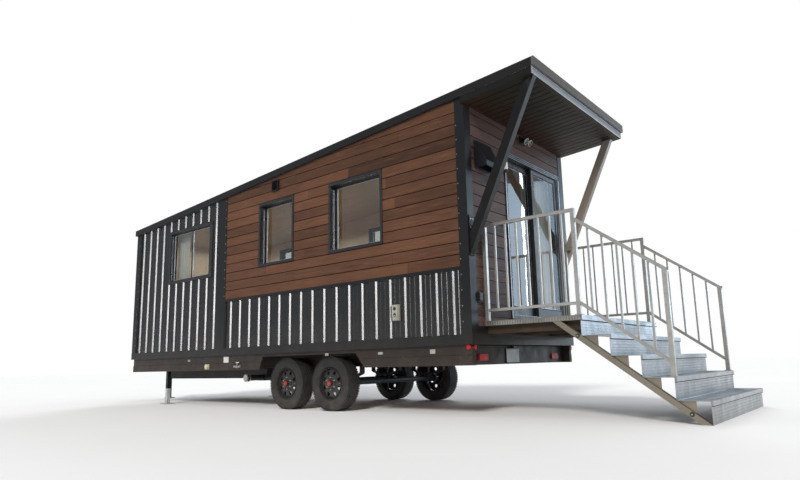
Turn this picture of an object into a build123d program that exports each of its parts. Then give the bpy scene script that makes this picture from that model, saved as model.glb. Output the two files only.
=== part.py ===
"""Tiny house on wheels: a framed cabin with a mono-pitch roof on a tandem-axle trailer,
with a door-end canopy and a bolt-on aluminium landing and steps.

Frame: +X runs toward the door end, -Y is the long side with the three windows, +Z is up.
The origin lies on the ground under the middle of the whole outline. All sizes are in mm.
"""
import math
import os

from build123d import *

os.makedirs("parts", exist_ok=True)

# Cabin body
HOUSE_LENGTH = 7315  # over the cladding of both end walls
HOUSE_WIDTH = 2490  # over the cladding of both long walls
BAND_BOTTOM = 757  # ground to the lower edge of the base band
BAND_HEIGHT = 109
BAND_THICKNESS = 30
FLOOR_TOP = 1057
FLOOR_THICKNESS = 200
WALL_CORE = 100
CLADDING = 22  # depth of the cladding zone outside the wall core
TRIM_PROUD = 6  # how far the flat trims stand out past the cladding

# Roof: one plane that falls from the door end to the hitch end
ROOF_TOP_AT_DOOR = 3604  # flat of the sheet's bed above the door-end wall face
ROOF_FALL = 0.069  # fall per unit of length
ROOF_THICKNESS = 77
ROOF_RIB = 18  # ribbed roof sheet over its bed, as high as its ribs
SHEET_CLEAR = 2  # roof sheet inside the fascia
CEILING_THICKNESS = 79  # lower layer between the walls, and the box under the canopy
EAVE = 10  # roof slab past the cladding on the long sides
FASCIA_THICKNESS = 25
FASCIA_LIP = 22  # fascia above the sheet's bed
HITCH_OVERHANG = 12
CANOPY_REACH = 914
CANOPY_SETBACK = 6  # canopy box behind the fascia above it
SOFFIT_GROOVE_PITCH = 110
SOFFIT_GROOVE_WIDTH = 14
SOFFIT_GROOVE_DEPTH = 8

# Cladding
RIB_PITCH = 228.6
RIB_BASE = 62
RIB_TOP = 30
SHEET = 4
BOARD_BOTTOM = 1604
CAP_HEIGHT = 39  # flat trim under the boards
METAL_BAY = 2605  # full-height metal at the hitch end, to the divider
DIVIDER_WIDTH = 223
CORNER_WIDTH = 120

# Windows on each long wall: place of the hitch-side edge, width, sill, head, recess.
# A is set out from the hitch end, B and C from the door end.
WINDOW_A = (1155, 1245, 2004, 2910, 48)
WINDOW_B = (3678, 785, 2012, 2957, 92)
WINDOW_C = (2185, 949, 2012, 2957, 92)
FRAME_WIDTH = 38
FRAME_DEPTH = 118
FRAME_PROUD = 8
GLASS_THICKNESS = 20
SASH_WIDTH = 26
MULLION_WIDTH = 34

# Patio door in the door-end wall
DOOR_FROM_CORNER = 852  # near corner of the cabin to the door frame
DOOR_TO_FAR_CORNER = 157
DOOR_HEIGHT = 2067
DOOR_FRAME = 45
DOOR_HEAD = 70
DOOR_FRAME_PROUD = 12
DOOR_FRAME_DEPTH = 124
PANEL_THICKNESS = 40
PANEL_STILE = 72
PANEL_BOTTOM_RAIL = 110
PANEL_TOP_RAIL = 62
PANEL_OVERLAP = 71
PANEL_CLEAR = 6
FIXED_PANEL_BACK = 10  # outer face of the fixed panel behind the cladding face
SLIDE_GAP = 10  # between the two panels
DOOR_GLASS = 22
ROLLER_INSET = 30
ROLLER_LENGTH = 60
ROLLER_GAP = 0.3  # roller blocks over the sill track
HANDLE_HEIGHT = 960  # middle of the handle above the floor
HANDLE_GRIP = 220
HANDLE_WIDTH = 20
HANDLE_PROUD = 38
HANDLE_GAP = 22
HANDLE_FOOT = 30

# Canopy braces
BRACE_NEAR = (1727, 880)  # underside of the tube at the wall, and its reach at the soffit
BRACE_FAR = (1857, 780)  # set higher, clear of the far landing rail
BRACE_DEPTH = 105
BRACE_WIDTH = 75
BRACE_INSET = 14  # outer face of the tube inside the cabin's side
BRACE_PLATE = 10
BRACE_PLATE_MARGIN = 5

# Curtains behind the fixed door panel and at the hitch side of the near window A
CURTAIN_ROD = 20
CURTAIN_OFF_WALL = 60  # wall face to the middle of the rod
CURTAIN_DEPTH = 60  # folds, front to back
CURTAIN_GAP = 0.3  # curtain under its rod
ROD_OVER_DOOR = 16
ROD_OVER_WINDOW = 35
CURTAIN_SHARE = 0.27  # of the window's width
CURTAIN_UNDER_SILL = 34
CURTAIN_OFF_FLOOR = 18

# Covers on the walls
OUTLET_FROM_DOOR = 948
OUTLET_WIDTH = 98
OUTLET_BOTTOM = 1067
OUTLET_HEIGHT = 188
OUTLET_PROUD = 30
VENT_FROM_DOOR = 3364  # hitch-side edge
VENT_WIDTH = 144
VENT_BOTTOM = 3086
VENT_HEIGHT = 160
COVER_PROUD = 34
END_OUTLET_FROM_CORNER = 124
END_OUTLET_WIDTH = 76
END_OUTLET_BOTTOM = 1209
END_OUTLET_HEIGHT = 112

# Trailer
SIDE_RAIL_BOTTOM = 537
SIDE_RAIL_STEP = 645
SIDE_RAIL_WIDTH = 70
SIDE_RAIL_LIP = 8
MAIN_BEAM_BOTTOM = 557
MAIN_BEAM_WIDTH = 75
BEAM_FLANGE = 12
BEAM_WEB = 10
CROSS_COUNT = 9
CROSS_WIDTH = 60
REAR_CROSS_BACK = 120
REAR_CROSS_DEPTH = 80
REAR_CROSS_BOTTOM = 539
REAR_CROSS_TOP = 753
TONGUE_REACH = 1250
DRAWBAR_HEIGHT = 150
DRAWBAR_BOTTOM = 557
DRAWBAR_NOSE = 60  # half width where the two members meet
COUPLER_LENGTH = 260
COUPLER_RADIUS = 62
COUPLER_BOTTOM = 567
SOCKET_RADIUS = 30
SOCKET_DEPTH = 36

# Holding tank under the main beams, and its drain
TANK_FROM_HITCH = 540
TANK_PAST_PIPE = 99
TANK_BOTTOM = 408
TANK_RIM = 10
TANK_MARGIN = 8  # tank inside the beams, and its rim inside their flanges
SUMP_BOTTOM = 372
SUMP_LENGTH = 230
TANK_BEVEL = 50
PIPE_FROM_DOOR = 4060
PIPE_Z = 420
PIPE_RADIUS = 42
PIPE_INSET = 125  # pipe end inside the cabin's side
COLLAR_RADIUS = 52
COLLAR_LENGTH = 60

# Running gear
AXLE_FROM_DOOR = (2235, 3095)
TYRE_RADIUS = 345
TYRE_WIDTH = 222
TYRE_OUTER_INSET = 50  # outer sidewall inside the cabin's side
TYRE_CORNER = 34
TYRE_SHOULDER = 21
RIM_RADIUS = 203
RIM_WALL = 8
RIM_DISC_BACK = 34  # disc face behind the outer sidewall
RIM_DISC = 12
RIM_HOLES = 8
WHEEL_SIDES = 28  # flats round the tyre and the rim
HOLE_SIDES = 8
HUB_SIDES = 16
TUBE_SIDES = 20  # flats round tubes and lamps that nothing turns on
RIM_HOLE_RADIUS = 24
RIM_HOLE_CIRCLE = 142
HUB_RADIUS = 56
HUB_CAP_RADIUS = 31
HUB_CAP_PROUD = 16
SPINDLE_RADIUS = 30
SPINDLE_FIT = 0.05
AXLE_TUBE_RADIUS = 38
AXLE_GAP = 20  # end of the axle tube to the hub
SPRING_HALF = 300
SPRING_WIDTH = 60
TYRE_TO_SPRING = 63
SPRING_THICKNESS = 30
SPRING_RISE = 70
WHEEL_CLEAR_LENGTH = 140
WHEEL_CLEAR_HEIGHT = 26
JACK_FROM_DOOR = 6250
JACK_TUBE = 60
JACK_FOOT = 180
JACK_FOOT_PLATE = 12

# Landing and steps
LANDING_REACH = 1123  # cladding face to the landing nosing
LANDING_NEAR = 240  # near corner of the cabin to the landing's near edge
LANDING_PAST_FAR = 20  # far edge of the landing past the cabin's side
LANDING_TOP = 1002
LANDING_APRON = 50
STEP_COUNT = 4
STEP_RUN = 275
PLATE = 5
NOSE_LIP = 42
RISER_BACK = 14
TREAD_GAP = 3
JOIST_WIDTH = 45
JOIST_HEIGHT = 130
JOIST_COUNT = 4
STRINGER = 55
RAIL_INSET = 38
RAIL_TO_BRACE = 5  # far rail clear of the far brace's plate
POST = 42
RAIL_TOP_HEIGHT = 1080  # top of the landing rail above the landing
TOP_RAIL_HEIGHT = 32
LOW_RAIL_CLEAR = 105
LOW_RAIL = 30
BALUSTER = 20
BALUSTER_PITCH = 130
HANDRAIL_DROP = 100  # handrail below the top of the landing post
LOWER_POST_FROM_NOSE = 26

# Derived places
STAIR_REACH = LANDING_REACH + STEP_COUNT * STEP_RUN
E = (HOUSE_LENGTH + TONGUE_REACH - STAIR_REACH) / 2  # door-end cladding face
H = E - HOUSE_LENGTH  # hitch-end cladding face
SIDE = HOUSE_WIDTH / 2
CORE_SIDE = SIDE - CLADDING
CORE_IN = CORE_SIDE - WALL_CORE
CORE_E = E - CLADDING
CORE_H = H + CLADDING
STEP_RISE = LANDING_TOP / (STEP_COUNT + 1)
FLOOR_BOTTOM = FLOOR_TOP - FLOOR_THICKNESS
BAND_TOP = BAND_BOTTOM + BAND_HEIGHT
TRIM_OUT = SIDE + TRIM_PROUD
MAIN_BEAM_Y = SIDE - TYRE_OUTER_INSET - TYRE_WIDTH - TYRE_TO_SPRING - SPRING_WIDTH / 2
DIVIDER_H = H + METAL_BAY
DIVIDER_E = DIVIDER_H + DIVIDER_WIDTH
CAP_BOTTOM = BOARD_BOTTOM - CAP_HEIGHT
DOOR_NEAR = DOOR_FROM_CORNER - SIDE
DOOR_FAR = SIDE - DOOR_TO_FAR_CORNER
DOOR_TOP = FLOOR_TOP + DOOR_HEIGHT
SOFFIT_DROP = ROOF_THICKNESS + CEILING_THICKNESS
CUT_TOP = ROOF_TOP_AT_DOOR + CANOPY_REACH  # above everything


def roof_top(x):
    return ROOF_TOP_AT_DOOR - ROOF_FALL * (E - x)


def roof_under(x):
    return roof_top(x) - ROOF_THICKNESS


def block(x0, x1, y0, y1, z0, z1, mode=Mode.ADD):
    """A plain slab between six planes, added to the part being built."""
    with Locations(((x0 + x1) / 2, (y0 + y1) / 2, (z0 + z1) / 2)):
        Box(x1 - x0, y1 - y0, z1 - z0, mode=mode)


def tube(centre, way, radius, length):
    """A round piece as flats, centred on a point of its axis, added to the part being built."""
    middle = Plane(origin=centre, z_dir=way)
    with BuildSketch(middle.offset(-length / 2)) as outline:
        RegularPolygon(radius, TUBE_SIDES)
    extrude(outline.sketch, amount=length)


def side_plate(points, y0, y1, mode=Mode.ADD):
    """A plate with an outline in XZ, standing between two Y planes."""
    with BuildSketch(Plane.XZ.offset(-y1)) as outline:
        with BuildLine():
            Polyline(*points, close=True)
        make_face()
    extrude(outline.sketch, amount=y1 - y0, mode=mode)


def end_plate(points, x0, x1, mode=Mode.ADD):
    """A plate with an outline in YZ, standing between two X planes."""
    with BuildSketch(Plane.YZ.offset(x0)) as outline:
        with BuildLine():
            Polyline(*points, close=True)
        make_face()
    extrude(outline.sketch, amount=x1 - x0, mode=mode)


def plan_plate(points, z0, z1, mode=Mode.ADD):
    """A plate with an outline in XY, lying between two Z planes."""
    with BuildSketch(Plane.XY.offset(z0)) as outline:
        with BuildLine():
            Polyline(*points, close=True)
        make_face()
    extrude(outline.sketch, amount=z1 - z0, mode=mode)


def sloped_strip(x0, x1, low, high):
    """Outline in XZ of a strip that follows the roof, low and high measured from its top."""
    return [
        (x0, roof_top(x0) + low),
        (x1, roof_top(x1) + low),
        (x1, roof_top(x1) + high),
        (x0, roof_top(x0) + high),
    ]


def under_roof(x0, x1, z0, drop=0.0):
    """Outline in XZ from z0 up to the underside of the roof."""
    return [(x0, z0), (x1, z0), (x1, roof_under(x1) - drop), (x0, roof_under(x0) - drop)]


def window_span(window):
    """Hitch-side and door-side X of a window."""
    start = H + window[0] if window is WINDOW_A else E - window[0]
    return start, start + window[1]


def save(piece, name):
    piece.part.label = name
    export_step(piece.part, f"parts/{name}.step")


WINDOWS = (WINDOW_A, WINDOW_B, WINDOW_C)

# Floor
with BuildPart() as floor_slab:
    block(CORE_H, CORE_E, -CORE_SIDE, CORE_SIDE, FLOOR_BOTTOM, FLOOR_TOP)
save(floor_slab, "floor_slab")


# Long walls, near at -Y and far at +Y
def long_wall(sign):
    y0, y1 = sorted((sign * CORE_IN, sign * CORE_SIDE))
    with BuildPart() as wall:
        side_plate(under_roof(CORE_H, CORE_E, FLOOR_TOP), y0, y1)
        for window in WINDOWS:
            w0, w1 = window_span(window)
            block(w0, w1, y0 - 1, y1 + 1, window[2], window[3], mode=Mode.SUBTRACT)
    return wall


save(long_wall(-1), "near_wall")
save(long_wall(1), "far_wall")

with BuildPart() as hitch_wall:
    side_plate(under_roof(CORE_H, CORE_H + WALL_CORE, FLOOR_TOP, CEILING_THICKNESS), -CORE_IN, CORE_IN)
save(hitch_wall, "hitch_wall")

# Door-end wall: a piece each side of the doorway and one over it
with BuildPart() as door_wall_near:
    side_plate(under_roof(CORE_E - WALL_CORE, CORE_E, FLOOR_TOP, CEILING_THICKNESS), -CORE_IN, DOOR_NEAR)
save(door_wall_near, "door_wall_near_side")

with BuildPart() as door_wall_far:
    side_plate(under_roof(CORE_E - WALL_CORE, CORE_E, FLOOR_TOP, CEILING_THICKNESS), DOOR_FAR, CORE_IN)
save(door_wall_far, "door_wall_far_side")

with BuildPart() as door_header:
    side_plate(under_roof(CORE_E - WALL_CORE, CORE_E, DOOR_TOP, CEILING_THICKNESS), DOOR_NEAR, DOOR_FAR)
save(door_header, "door_header_wall")


# Ribbed metal: a thin sheet with trapezoid ribs on a fixed pitch
def rib_centres(x0, x1):
    count = int((x1 - x0 - RIB_BASE) // RIB_PITCH) + 1
    first = (x0 + x1 - (count - 1) * RIB_PITCH) / 2
    return [first + i * RIB_PITCH for i in range(count)]


def ribbed_outline(x0, x1, base, out):
    """Section across a ribbed sheet: its back lies at base and its ribs reach to out."""
    way = 1 if out > base else -1
    face = base + way * SHEET
    points = [(x0, base), (x0, face)]
    for c in rib_centres(x0, x1):
        points += [(c - RIB_BASE / 2, face), (c - RIB_TOP / 2, out)]
        points += [(c + RIB_TOP / 2, out), (c + RIB_BASE / 2, face)]
    return points + [(x1, face), (x1, base)]


def metal_side(sign):
    base, out = sign * CORE_SIDE, sign * SIDE
    bay0, bay1 = H + CORNER_WIDTH, DIVIDER_H
    low0, low1 = DIVIDER_E, E - CORNER_WIDTH
    cut0, cut1 = sorted((base - sign, out + sign))
    with BuildPart() as metal:
        plan_plate(ribbed_outline(bay0, bay1, base, out), BAND_TOP, roof_under(bay1) + 1)
        side_plate(
            [
                (bay0 - 1, roof_under(bay0 - 1)),
                (bay1 + 1, roof_under(bay1 + 1)),
                (bay1 + 1, CUT_TOP),
                (bay0 - 1, CUT_TOP),
            ],
            cut0,
            cut1,
            mode=Mode.SUBTRACT,
        )
        w0, w1 = window_span(WINDOW_A)
        block(w0, w1, cut0, cut1, WINDOW_A[2], WINDOW_A[3], mode=Mode.SUBTRACT)
        plan_plate(ribbed_outline(low0, low1, base, out), BAND_TOP, CAP_BOTTOM)
    return metal


save(metal_side(-1), "metal_cladding_near")
save(metal_side(1), "metal_cladding_far")

with BuildPart() as metal_hitch:
    outline = [(y, x) for x, y in ribbed_outline(-SIDE + CORNER_WIDTH, SIDE - CORNER_WIDTH, CORE_H, H)]
    plan_plate(outline, BAND_TOP, roof_under(H))
save(metal_hitch, "metal_cladding_hitch_end")


# Composite boards, one panel a side
def boards_side(sign):
    y0, y1 = sorted((sign * CORE_SIDE, sign * SIDE))
    with BuildPart() as boards:
        side_plate(under_roof(DIVIDER_E, E - CORNER_WIDTH, BOARD_BOTTOM), y0, y1)
        for window in (WINDOW_B, WINDOW_C):
            w0, w1 = window_span(window)
            block(w0, w1, y0 - 1, y1 + 1, window[2], window[3], mode=Mode.SUBTRACT)
    return boards


save(boards_side(-1), "wood_siding_near")
save(boards_side(1), "wood_siding_far")

END_BAND_TOP = 950
SOFFIT_AT_DOOR = roof_top(E) - SOFFIT_DROP
with BuildPart() as boards_end:
    inner = SIDE - CORNER_WIDTH
    block(CORE_E, E, -inner, DOOR_NEAR, END_BAND_TOP, DOOR_TOP)
    block(CORE_E, E, DOOR_FAR, inner, END_BAND_TOP, DOOR_TOP)
    block(CORE_E, E, -inner, inner, DOOR_TOP, roof_under(CORE_E) - CEILING_THICKNESS)
    block(CORE_E, E, DOOR_NEAR, DOOR_FAR, END_BAND_TOP, FLOOR_TOP)
save(boards_end, "wood_siding_door_end")


# Flat black trims: corners, the divider and the cap under the boards
def corner_post(x_face, x_way, sign):
    """L-shaped corner trim: x_face is the cladding face of the end wall."""
    x_out = x_face + x_way * TRIM_PROUD
    x_in = x_face - x_way * CLADDING
    x_leg = x_face - x_way * CORNER_WIDTH
    y_out, y_in, y_leg = sign * TRIM_OUT, sign * CORE_SIDE, sign * (SIDE - CORNER_WIDTH)
    return [(x_out, y_out), (x_leg, y_out), (x_leg, y_in), (x_in, y_in), (x_in, y_leg), (x_out, y_leg)]


with BuildPart() as wall_trims:
    for sign in (-1, 1):
        y0, y1 = sorted((sign * CORE_SIDE, sign * TRIM_OUT))
        plan_plate(corner_post(E, 1, sign), BAND_TOP, roof_under(E - CORNER_WIDTH) - CEILING_THICKNESS)
        side_plate(
            [
                (E - CORNER_WIDTH, roof_under(E - CORNER_WIDTH) - CEILING_THICKNESS),
                (CORE_E, roof_under(E - CORNER_WIDTH) - CEILING_THICKNESS),
                (CORE_E, roof_under(CORE_E)),
                (E - CORNER_WIDTH, roof_under(E - CORNER_WIDTH)),
            ],
            y0,
            y1,
        )
        plan_plate(corner_post(H, -1, sign), BAND_TOP, roof_under(H - TRIM_PROUD))
        side_plate(under_roof(DIVIDER_H, DIVIDER_E, BAND_TOP), y0, y1)
        block(DIVIDER_E, E - CORNER_WIDTH, y0, y1, CAP_BOTTOM, BOARD_BOTTOM)
save(wall_trims, "wall_trims")

with BuildPart() as base_band:
    outer = CORE_SIDE + BAND_THICKNESS
    block(CORE_H - BAND_THICKNESS, CORE_E + BAND_THICKNESS, -outer, outer, BAND_BOTTOM, BAND_TOP)
    block(CORE_E, CORE_E + BAND_THICKNESS, -SIDE + CORNER_WIDTH, SIDE - CORNER_WIDTH, BAND_TOP, END_BAND_TOP)
    block(CORE_H, CORE_E, -CORE_SIDE, CORE_SIDE, BAND_BOTTOM - 1, BAND_TOP + 1, mode=Mode.SUBTRACT)
save(base_band, "base_band")

# Roof
ROOF_H = H - HITCH_OVERHANG
ROOF_E = E + CANOPY_REACH - FASCIA_THICKNESS
ROOF_SIDE = SIDE + EAVE
with BuildPart() as roof_slab:
    side_plate(sloped_strip(ROOF_H, ROOF_E, -ROOF_THICKNESS, 0), -ROOF_SIDE, ROOF_SIDE)
    side_plate(
        [
            (CORE_H, roof_under(CORE_H) - CEILING_THICKNESS),
            (CORE_E, roof_under(CORE_E) - CEILING_THICKNESS),
            (CORE_E, roof_under(CORE_E) + 1),
            (CORE_H, roof_under(CORE_H) + 1),
        ],
        -CORE_IN,
        CORE_IN,
    )
    sheet_h, sheet_e = ROOF_H + SHEET_CLEAR, ROOF_E - SHEET_CLEAR
    sheet_side = ROOF_SIDE - SHEET_CLEAR
    bed = roof_top(sheet_h)
    with BuildSketch(Plane.YZ.offset(sheet_h)) as ribs_across:
        with BuildLine():
            Polyline(*ribbed_outline(-sheet_side, sheet_side, bed, bed + ROOF_RIB), close=True)
        make_face()
    extrude(ribs_across.sketch, amount=(sheet_e - sheet_h) * math.hypot(1, ROOF_FALL), dir=(1, 0, ROOF_FALL))
save(roof_slab, "roof_slab")


with BuildPart() as roof_fascia:
    outer_side = ROOF_SIDE + FASCIA_THICKNESS
    outer_h = ROOF_H - FASCIA_THICKNESS
    outer_e = ROOF_E + FASCIA_THICKNESS
    side_plate(sloped_strip(outer_h, outer_e, -ROOF_THICKNESS, FASCIA_LIP), -outer_side, outer_side)
    well = sloped_strip(ROOF_H, ROOF_E, -ROOF_THICKNESS - 5, FASCIA_LIP + 5)
    side_plate(well, -ROOF_SIDE, ROOF_SIDE, mode=Mode.SUBTRACT)
save(roof_fascia, "roof_fascia")

with BuildPart() as canopy_soffit:
    box_e = ROOF_E - CANOPY_SETBACK
    box_side = ROOF_SIDE - CANOPY_SETBACK + FASCIA_THICKNESS
    side_plate(sloped_strip(CORE_E, box_e, -SOFFIT_DROP, -ROOF_THICKNESS), -box_side, box_side)
    grooves = int((2 * box_side - 160) // SOFFIT_GROOVE_PITCH)
    for i in range(grooves + 1):
        y = (i - grooves / 2) * SOFFIT_GROOVE_PITCH
        side_plate(
            sloped_strip(E + 20, box_e - 60, -SOFFIT_DROP - 5, -SOFFIT_DROP + SOFFIT_GROOVE_DEPTH),
            y - SOFFIT_GROOVE_WIDTH / 2,
            y + SOFFIT_GROOVE_WIDTH / 2,
            mode=Mode.SUBTRACT,
        )
save(canopy_soffit, "canopy_soffit")

# Braces from the wall corners to the canopy's outer corners
BRACE_FOOT_X = E + TRIM_PROUD + BRACE_PLATE
with BuildPart() as canopy_braces:
    for sign, (foot_z, reach) in ((-1, BRACE_NEAR), (1, BRACE_FAR)):
        head_x = E + reach
        head_z = roof_top(head_x) - SOFFIT_DROP
        angle = math.atan2(head_z - foot_z, head_x - BRACE_FOOT_X)
        rise = BRACE_DEPTH / math.cos(angle)  # vertical side of the mitred foot
        spread = BRACE_DEPTH / math.sin(angle)  # level side of the mitred head
        y0, y1 = sorted((sign * (SIDE - BRACE_INSET), sign * (SIDE - BRACE_INSET - BRACE_WIDTH)))
        side_plate(
            [
                (BRACE_FOOT_X, foot_z),
                (head_x, head_z),
                (head_x - spread, roof_top(head_x - spread) - SOFFIT_DROP),
                (BRACE_FOOT_X, foot_z + rise),
            ],
            y0,
            y1,
        )
        margin = BRACE_PLATE_MARGIN
        block(E + TRIM_PROUD, BRACE_FOOT_X, y0 - margin, y1 + margin, foot_z - 20, foot_z + rise + 190)
save(canopy_braces, "canopy_braces")


# Windows: a deep box frame with a sash around the pane
def window_frame(window, sign):
    w0, w1 = window_span(window)
    sill, head_z, recess = window[2], window[3], window[4]
    outer = sign * (SIDE + FRAME_PROUD)
    back = outer - sign * FRAME_DEPTH
    y0, y1 = sorted((outer, back))
    g0, g1 = sorted((sign * (SIDE - recess), sign * (SIDE - recess - GLASS_THICKNESS)))
    block(w0, w1, y0, y1, sill, head_z)
    c0, c1 = w0 + FRAME_WIDTH, w1 - FRAME_WIDTH
    block(c0, c1, y0 - 1, y1 + 1, sill + FRAME_WIDTH, head_z - FRAME_WIDTH, mode=Mode.SUBTRACT)
    inner = FRAME_WIDTH + SASH_WIDTH
    block(c0, c1, g0, g1, sill + FRAME_WIDTH, head_z - FRAME_WIDTH)
    if window is WINDOW_A:
        middle = (w0 + w1) / 2
        block(w0 + inner, middle - MULLION_WIDTH / 2, g0, g1, sill + inner, head_z - inner, mode=Mode.SUBTRACT)
        block(middle + MULLION_WIDTH / 2, w1 - inner, g0, g1, sill + inner, head_z - inner, mode=Mode.SUBTRACT)
    else:
        block(w0 + inner, w1 - inner, g0, g1, sill + inner, head_z - inner, mode=Mode.SUBTRACT)


def window_pane(window, sign):
    w0, w1 = window_span(window)
    sill, head_z, recess = window[2], window[3], window[4]
    g0, g1 = sorted((sign * (SIDE - recess - 6), sign * (SIDE - recess - GLASS_THICKNESS + 6)))
    inner = FRAME_WIDTH + SASH_WIDTH
    if window is WINDOW_A:
        middle = (w0 + w1) / 2
        block(w0 + inner, middle - MULLION_WIDTH / 2, g0, g1, sill + inner, head_z - inner)
        block(middle + MULLION_WIDTH / 2, w1 - inner, g0, g1, sill + inner, head_z - inner)
    else:
        block(w0 + inner, w1 - inner, g0, g1, sill + inner, head_z - inner)


with BuildPart() as frames:
    for sign in (-1, 1):
        for window in WINDOWS:
            window_frame(window, sign)
save(frames, "window_frames")

with BuildPart() as panes:
    for sign in (-1, 1):
        for window in WINDOWS:
            window_pane(window, sign)
save(panes, "window_glass")

# Patio door
FRAME_X1 = E + DOOR_FRAME_PROUD
FRAME_X0 = FRAME_X1 - DOOR_FRAME_DEPTH - 10
with BuildPart() as door_frame:
    block(FRAME_X0, FRAME_X1, DOOR_NEAR, DOOR_FAR, FLOOR_TOP, DOOR_TOP)
    block(
        FRAME_X0 - 1,
        FRAME_X1 + 1,
        DOOR_NEAR + DOOR_FRAME,
        DOOR_FAR - DOOR_FRAME,
        FLOOR_TOP + DOOR_FRAME,
        DOOR_TOP - DOOR_HEAD,
        mode=Mode.SUBTRACT,
    )
save(door_frame, "patio_door_frame")

CLEAR_NEAR = DOOR_NEAR + DOOR_FRAME
CLEAR_FAR = DOOR_FAR - DOOR_FRAME
CLEAR_SILL = FLOOR_TOP + DOOR_FRAME
CLEAR_HEAD = DOOR_TOP - DOOR_HEAD
PANEL_WIDTH = (CLEAR_FAR - CLEAR_NEAR - PANEL_CLEAR + PANEL_OVERLAP) / 2
FIXED_X1 = E - FIXED_PANEL_BACK
FIXED_X0 = FIXED_X1 - PANEL_THICKNESS
SLIDE_X1 = FIXED_X0 - SLIDE_GAP
SLIDE_X0 = SLIDE_X1 - PANEL_THICKNESS
FIXED_Y0 = CLEAR_FAR - PANEL_WIDTH
SLIDE_Y0 = CLEAR_NEAR + PANEL_CLEAR
SLIDE_Y1 = SLIDE_Y0 + PANEL_WIDTH


def panel(x0, x1, y0, y1, z0, z1):
    block(x0, x1, y0, y1, z0, z1)
    block(
        x0 - 1,
        x1 + 1,
        y0 + PANEL_STILE,
        y1 - PANEL_STILE,
        z0 + PANEL_BOTTOM_RAIL,
        z1 - PANEL_TOP_RAIL,
        mode=Mode.SUBTRACT,
    )


def pane(x0, x1, y0, y1, z0, z1):
    middle = (x0 + x1) / 2
    block(
        middle - DOOR_GLASS / 2,
        middle + DOOR_GLASS / 2,
        y0 + PANEL_STILE,
        y1 - PANEL_STILE,
        z0 + PANEL_BOTTOM_RAIL,
        z1 - PANEL_TOP_RAIL,
    )


with BuildPart() as fixed_panel:
    panel(FIXED_X0, FIXED_X1, FIXED_Y0, CLEAR_FAR, CLEAR_SILL, CLEAR_HEAD)
save(fixed_panel, "patio_door_fixed_panel")

with BuildPart() as fixed_pane:
    pane(FIXED_X0, FIXED_X1, FIXED_Y0, CLEAR_FAR, CLEAR_SILL, CLEAR_HEAD)
save(fixed_pane, "patio_door_fixed_glass")

HANDLE_Z = FLOOR_TOP + HANDLE_HEIGHT
with BuildPart() as sliding_panel:
    panel(SLIDE_X0, SLIDE_X1, SLIDE_Y0, SLIDE_Y1, CLEAR_SILL + PANEL_CLEAR, CLEAR_HEAD - PANEL_CLEAR)
    handle_y = SLIDE_Y0 + PANEL_STILE / 2
    grip0, grip1 = handle_y - HANDLE_WIDTH / 2, handle_y + HANDLE_WIDTH / 2
    reach = HANDLE_GRIP / 2
    hand0, hand1 = HANDLE_Z - reach + HANDLE_FOOT, HANDLE_Z + reach - HANDLE_FOOT
    block(SLIDE_X1, SLIDE_X1 + HANDLE_PROUD, grip0, grip1, HANDLE_Z - reach, HANDLE_Z + reach)
    block(SLIDE_X1, SLIDE_X1 + HANDLE_GAP, grip0 - 1, grip1 + 1, hand0, hand1, mode=Mode.SUBTRACT)
    middle = (SLIDE_X0 + SLIDE_X1) / 2
    for y in (SLIDE_Y0 + ROLLER_INSET, SLIDE_Y1 - ROLLER_INSET - ROLLER_LENGTH):
        block(middle - 7, middle + 7, y, y + ROLLER_LENGTH, CLEAR_SILL + ROLLER_GAP, CLEAR_SILL + PANEL_CLEAR)
save(sliding_panel, "patio_door_sliding_panel")

with BuildPart() as sliding_pane:
    pane(SLIDE_X0, SLIDE_X1, SLIDE_Y0, SLIDE_Y1, CLEAR_SILL + PANEL_CLEAR, CLEAR_HEAD - PANEL_CLEAR)
save(sliding_pane, "patio_door_sliding_glass")

# Curtains as plain closed solids, just under their rods
INNER_E = CORE_E - WALL_CORE
DOOR_ROD_X = INNER_E - CURTAIN_OFF_WALL
DOOR_ROD_Z = DOOR_TOP + ROD_OVER_DOOR
WINDOW_ROD_Y = -CORE_IN + CURTAIN_OFF_WALL
WINDOW_ROD_Z = WINDOW_A[3] + ROD_OVER_WINDOW
CURTAIN_H, CURTAIN_E = window_span(WINDOW_A)
with BuildPart() as curtain_rails:
    half = CURTAIN_ROD / 2
    rod0, rod1 = FIXED_Y0 - 40, DOOR_FAR - 3
    block(DOOR_ROD_X - half, DOOR_ROD_X + half, rod0, rod1, DOOR_ROD_Z, DOOR_ROD_Z + CURTAIN_ROD)
    for y in (rod0 + CURTAIN_ROD, rod1 - 2 * CURTAIN_ROD):
        block(DOOR_ROD_X, INNER_E, y, y + CURTAIN_ROD, DOOR_ROD_Z, DOOR_ROD_Z + CURTAIN_ROD)
    rod0, rod1 = CURTAIN_H - 55, CURTAIN_E + 55
    block(rod0, rod1, WINDOW_ROD_Y - half, WINDOW_ROD_Y + half, WINDOW_ROD_Z, WINDOW_ROD_Z + CURTAIN_ROD)
    for x in (rod0 + CURTAIN_ROD / 4, rod1 - 2 * CURTAIN_ROD):
        block(x, x + CURTAIN_ROD, -CORE_IN, WINDOW_ROD_Y, WINDOW_ROD_Z, WINDOW_ROD_Z + CURTAIN_ROD)
save(curtain_rails, "curtain_rails")

with BuildPart() as curtains:
    half = CURTAIN_DEPTH / 2
    block(
        DOOR_ROD_X - half,
        DOOR_ROD_X + half,
        FIXED_Y0 + 25,
        DOOR_FAR - 13,
        FLOOR_TOP + CURTAIN_OFF_FLOOR,
        DOOR_ROD_Z - CURTAIN_GAP,
    )
    block(
        CURTAIN_H - 30,
        CURTAIN_H + CURTAIN_SHARE * (CURTAIN_E - CURTAIN_H),
        WINDOW_ROD_Y - half,
        WINDOW_ROD_Y + half,
        WINDOW_A[2] - CURTAIN_UNDER_SILL,
        WINDOW_ROD_Z - CURTAIN_GAP,
    )
save(curtains, "curtains")

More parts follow.
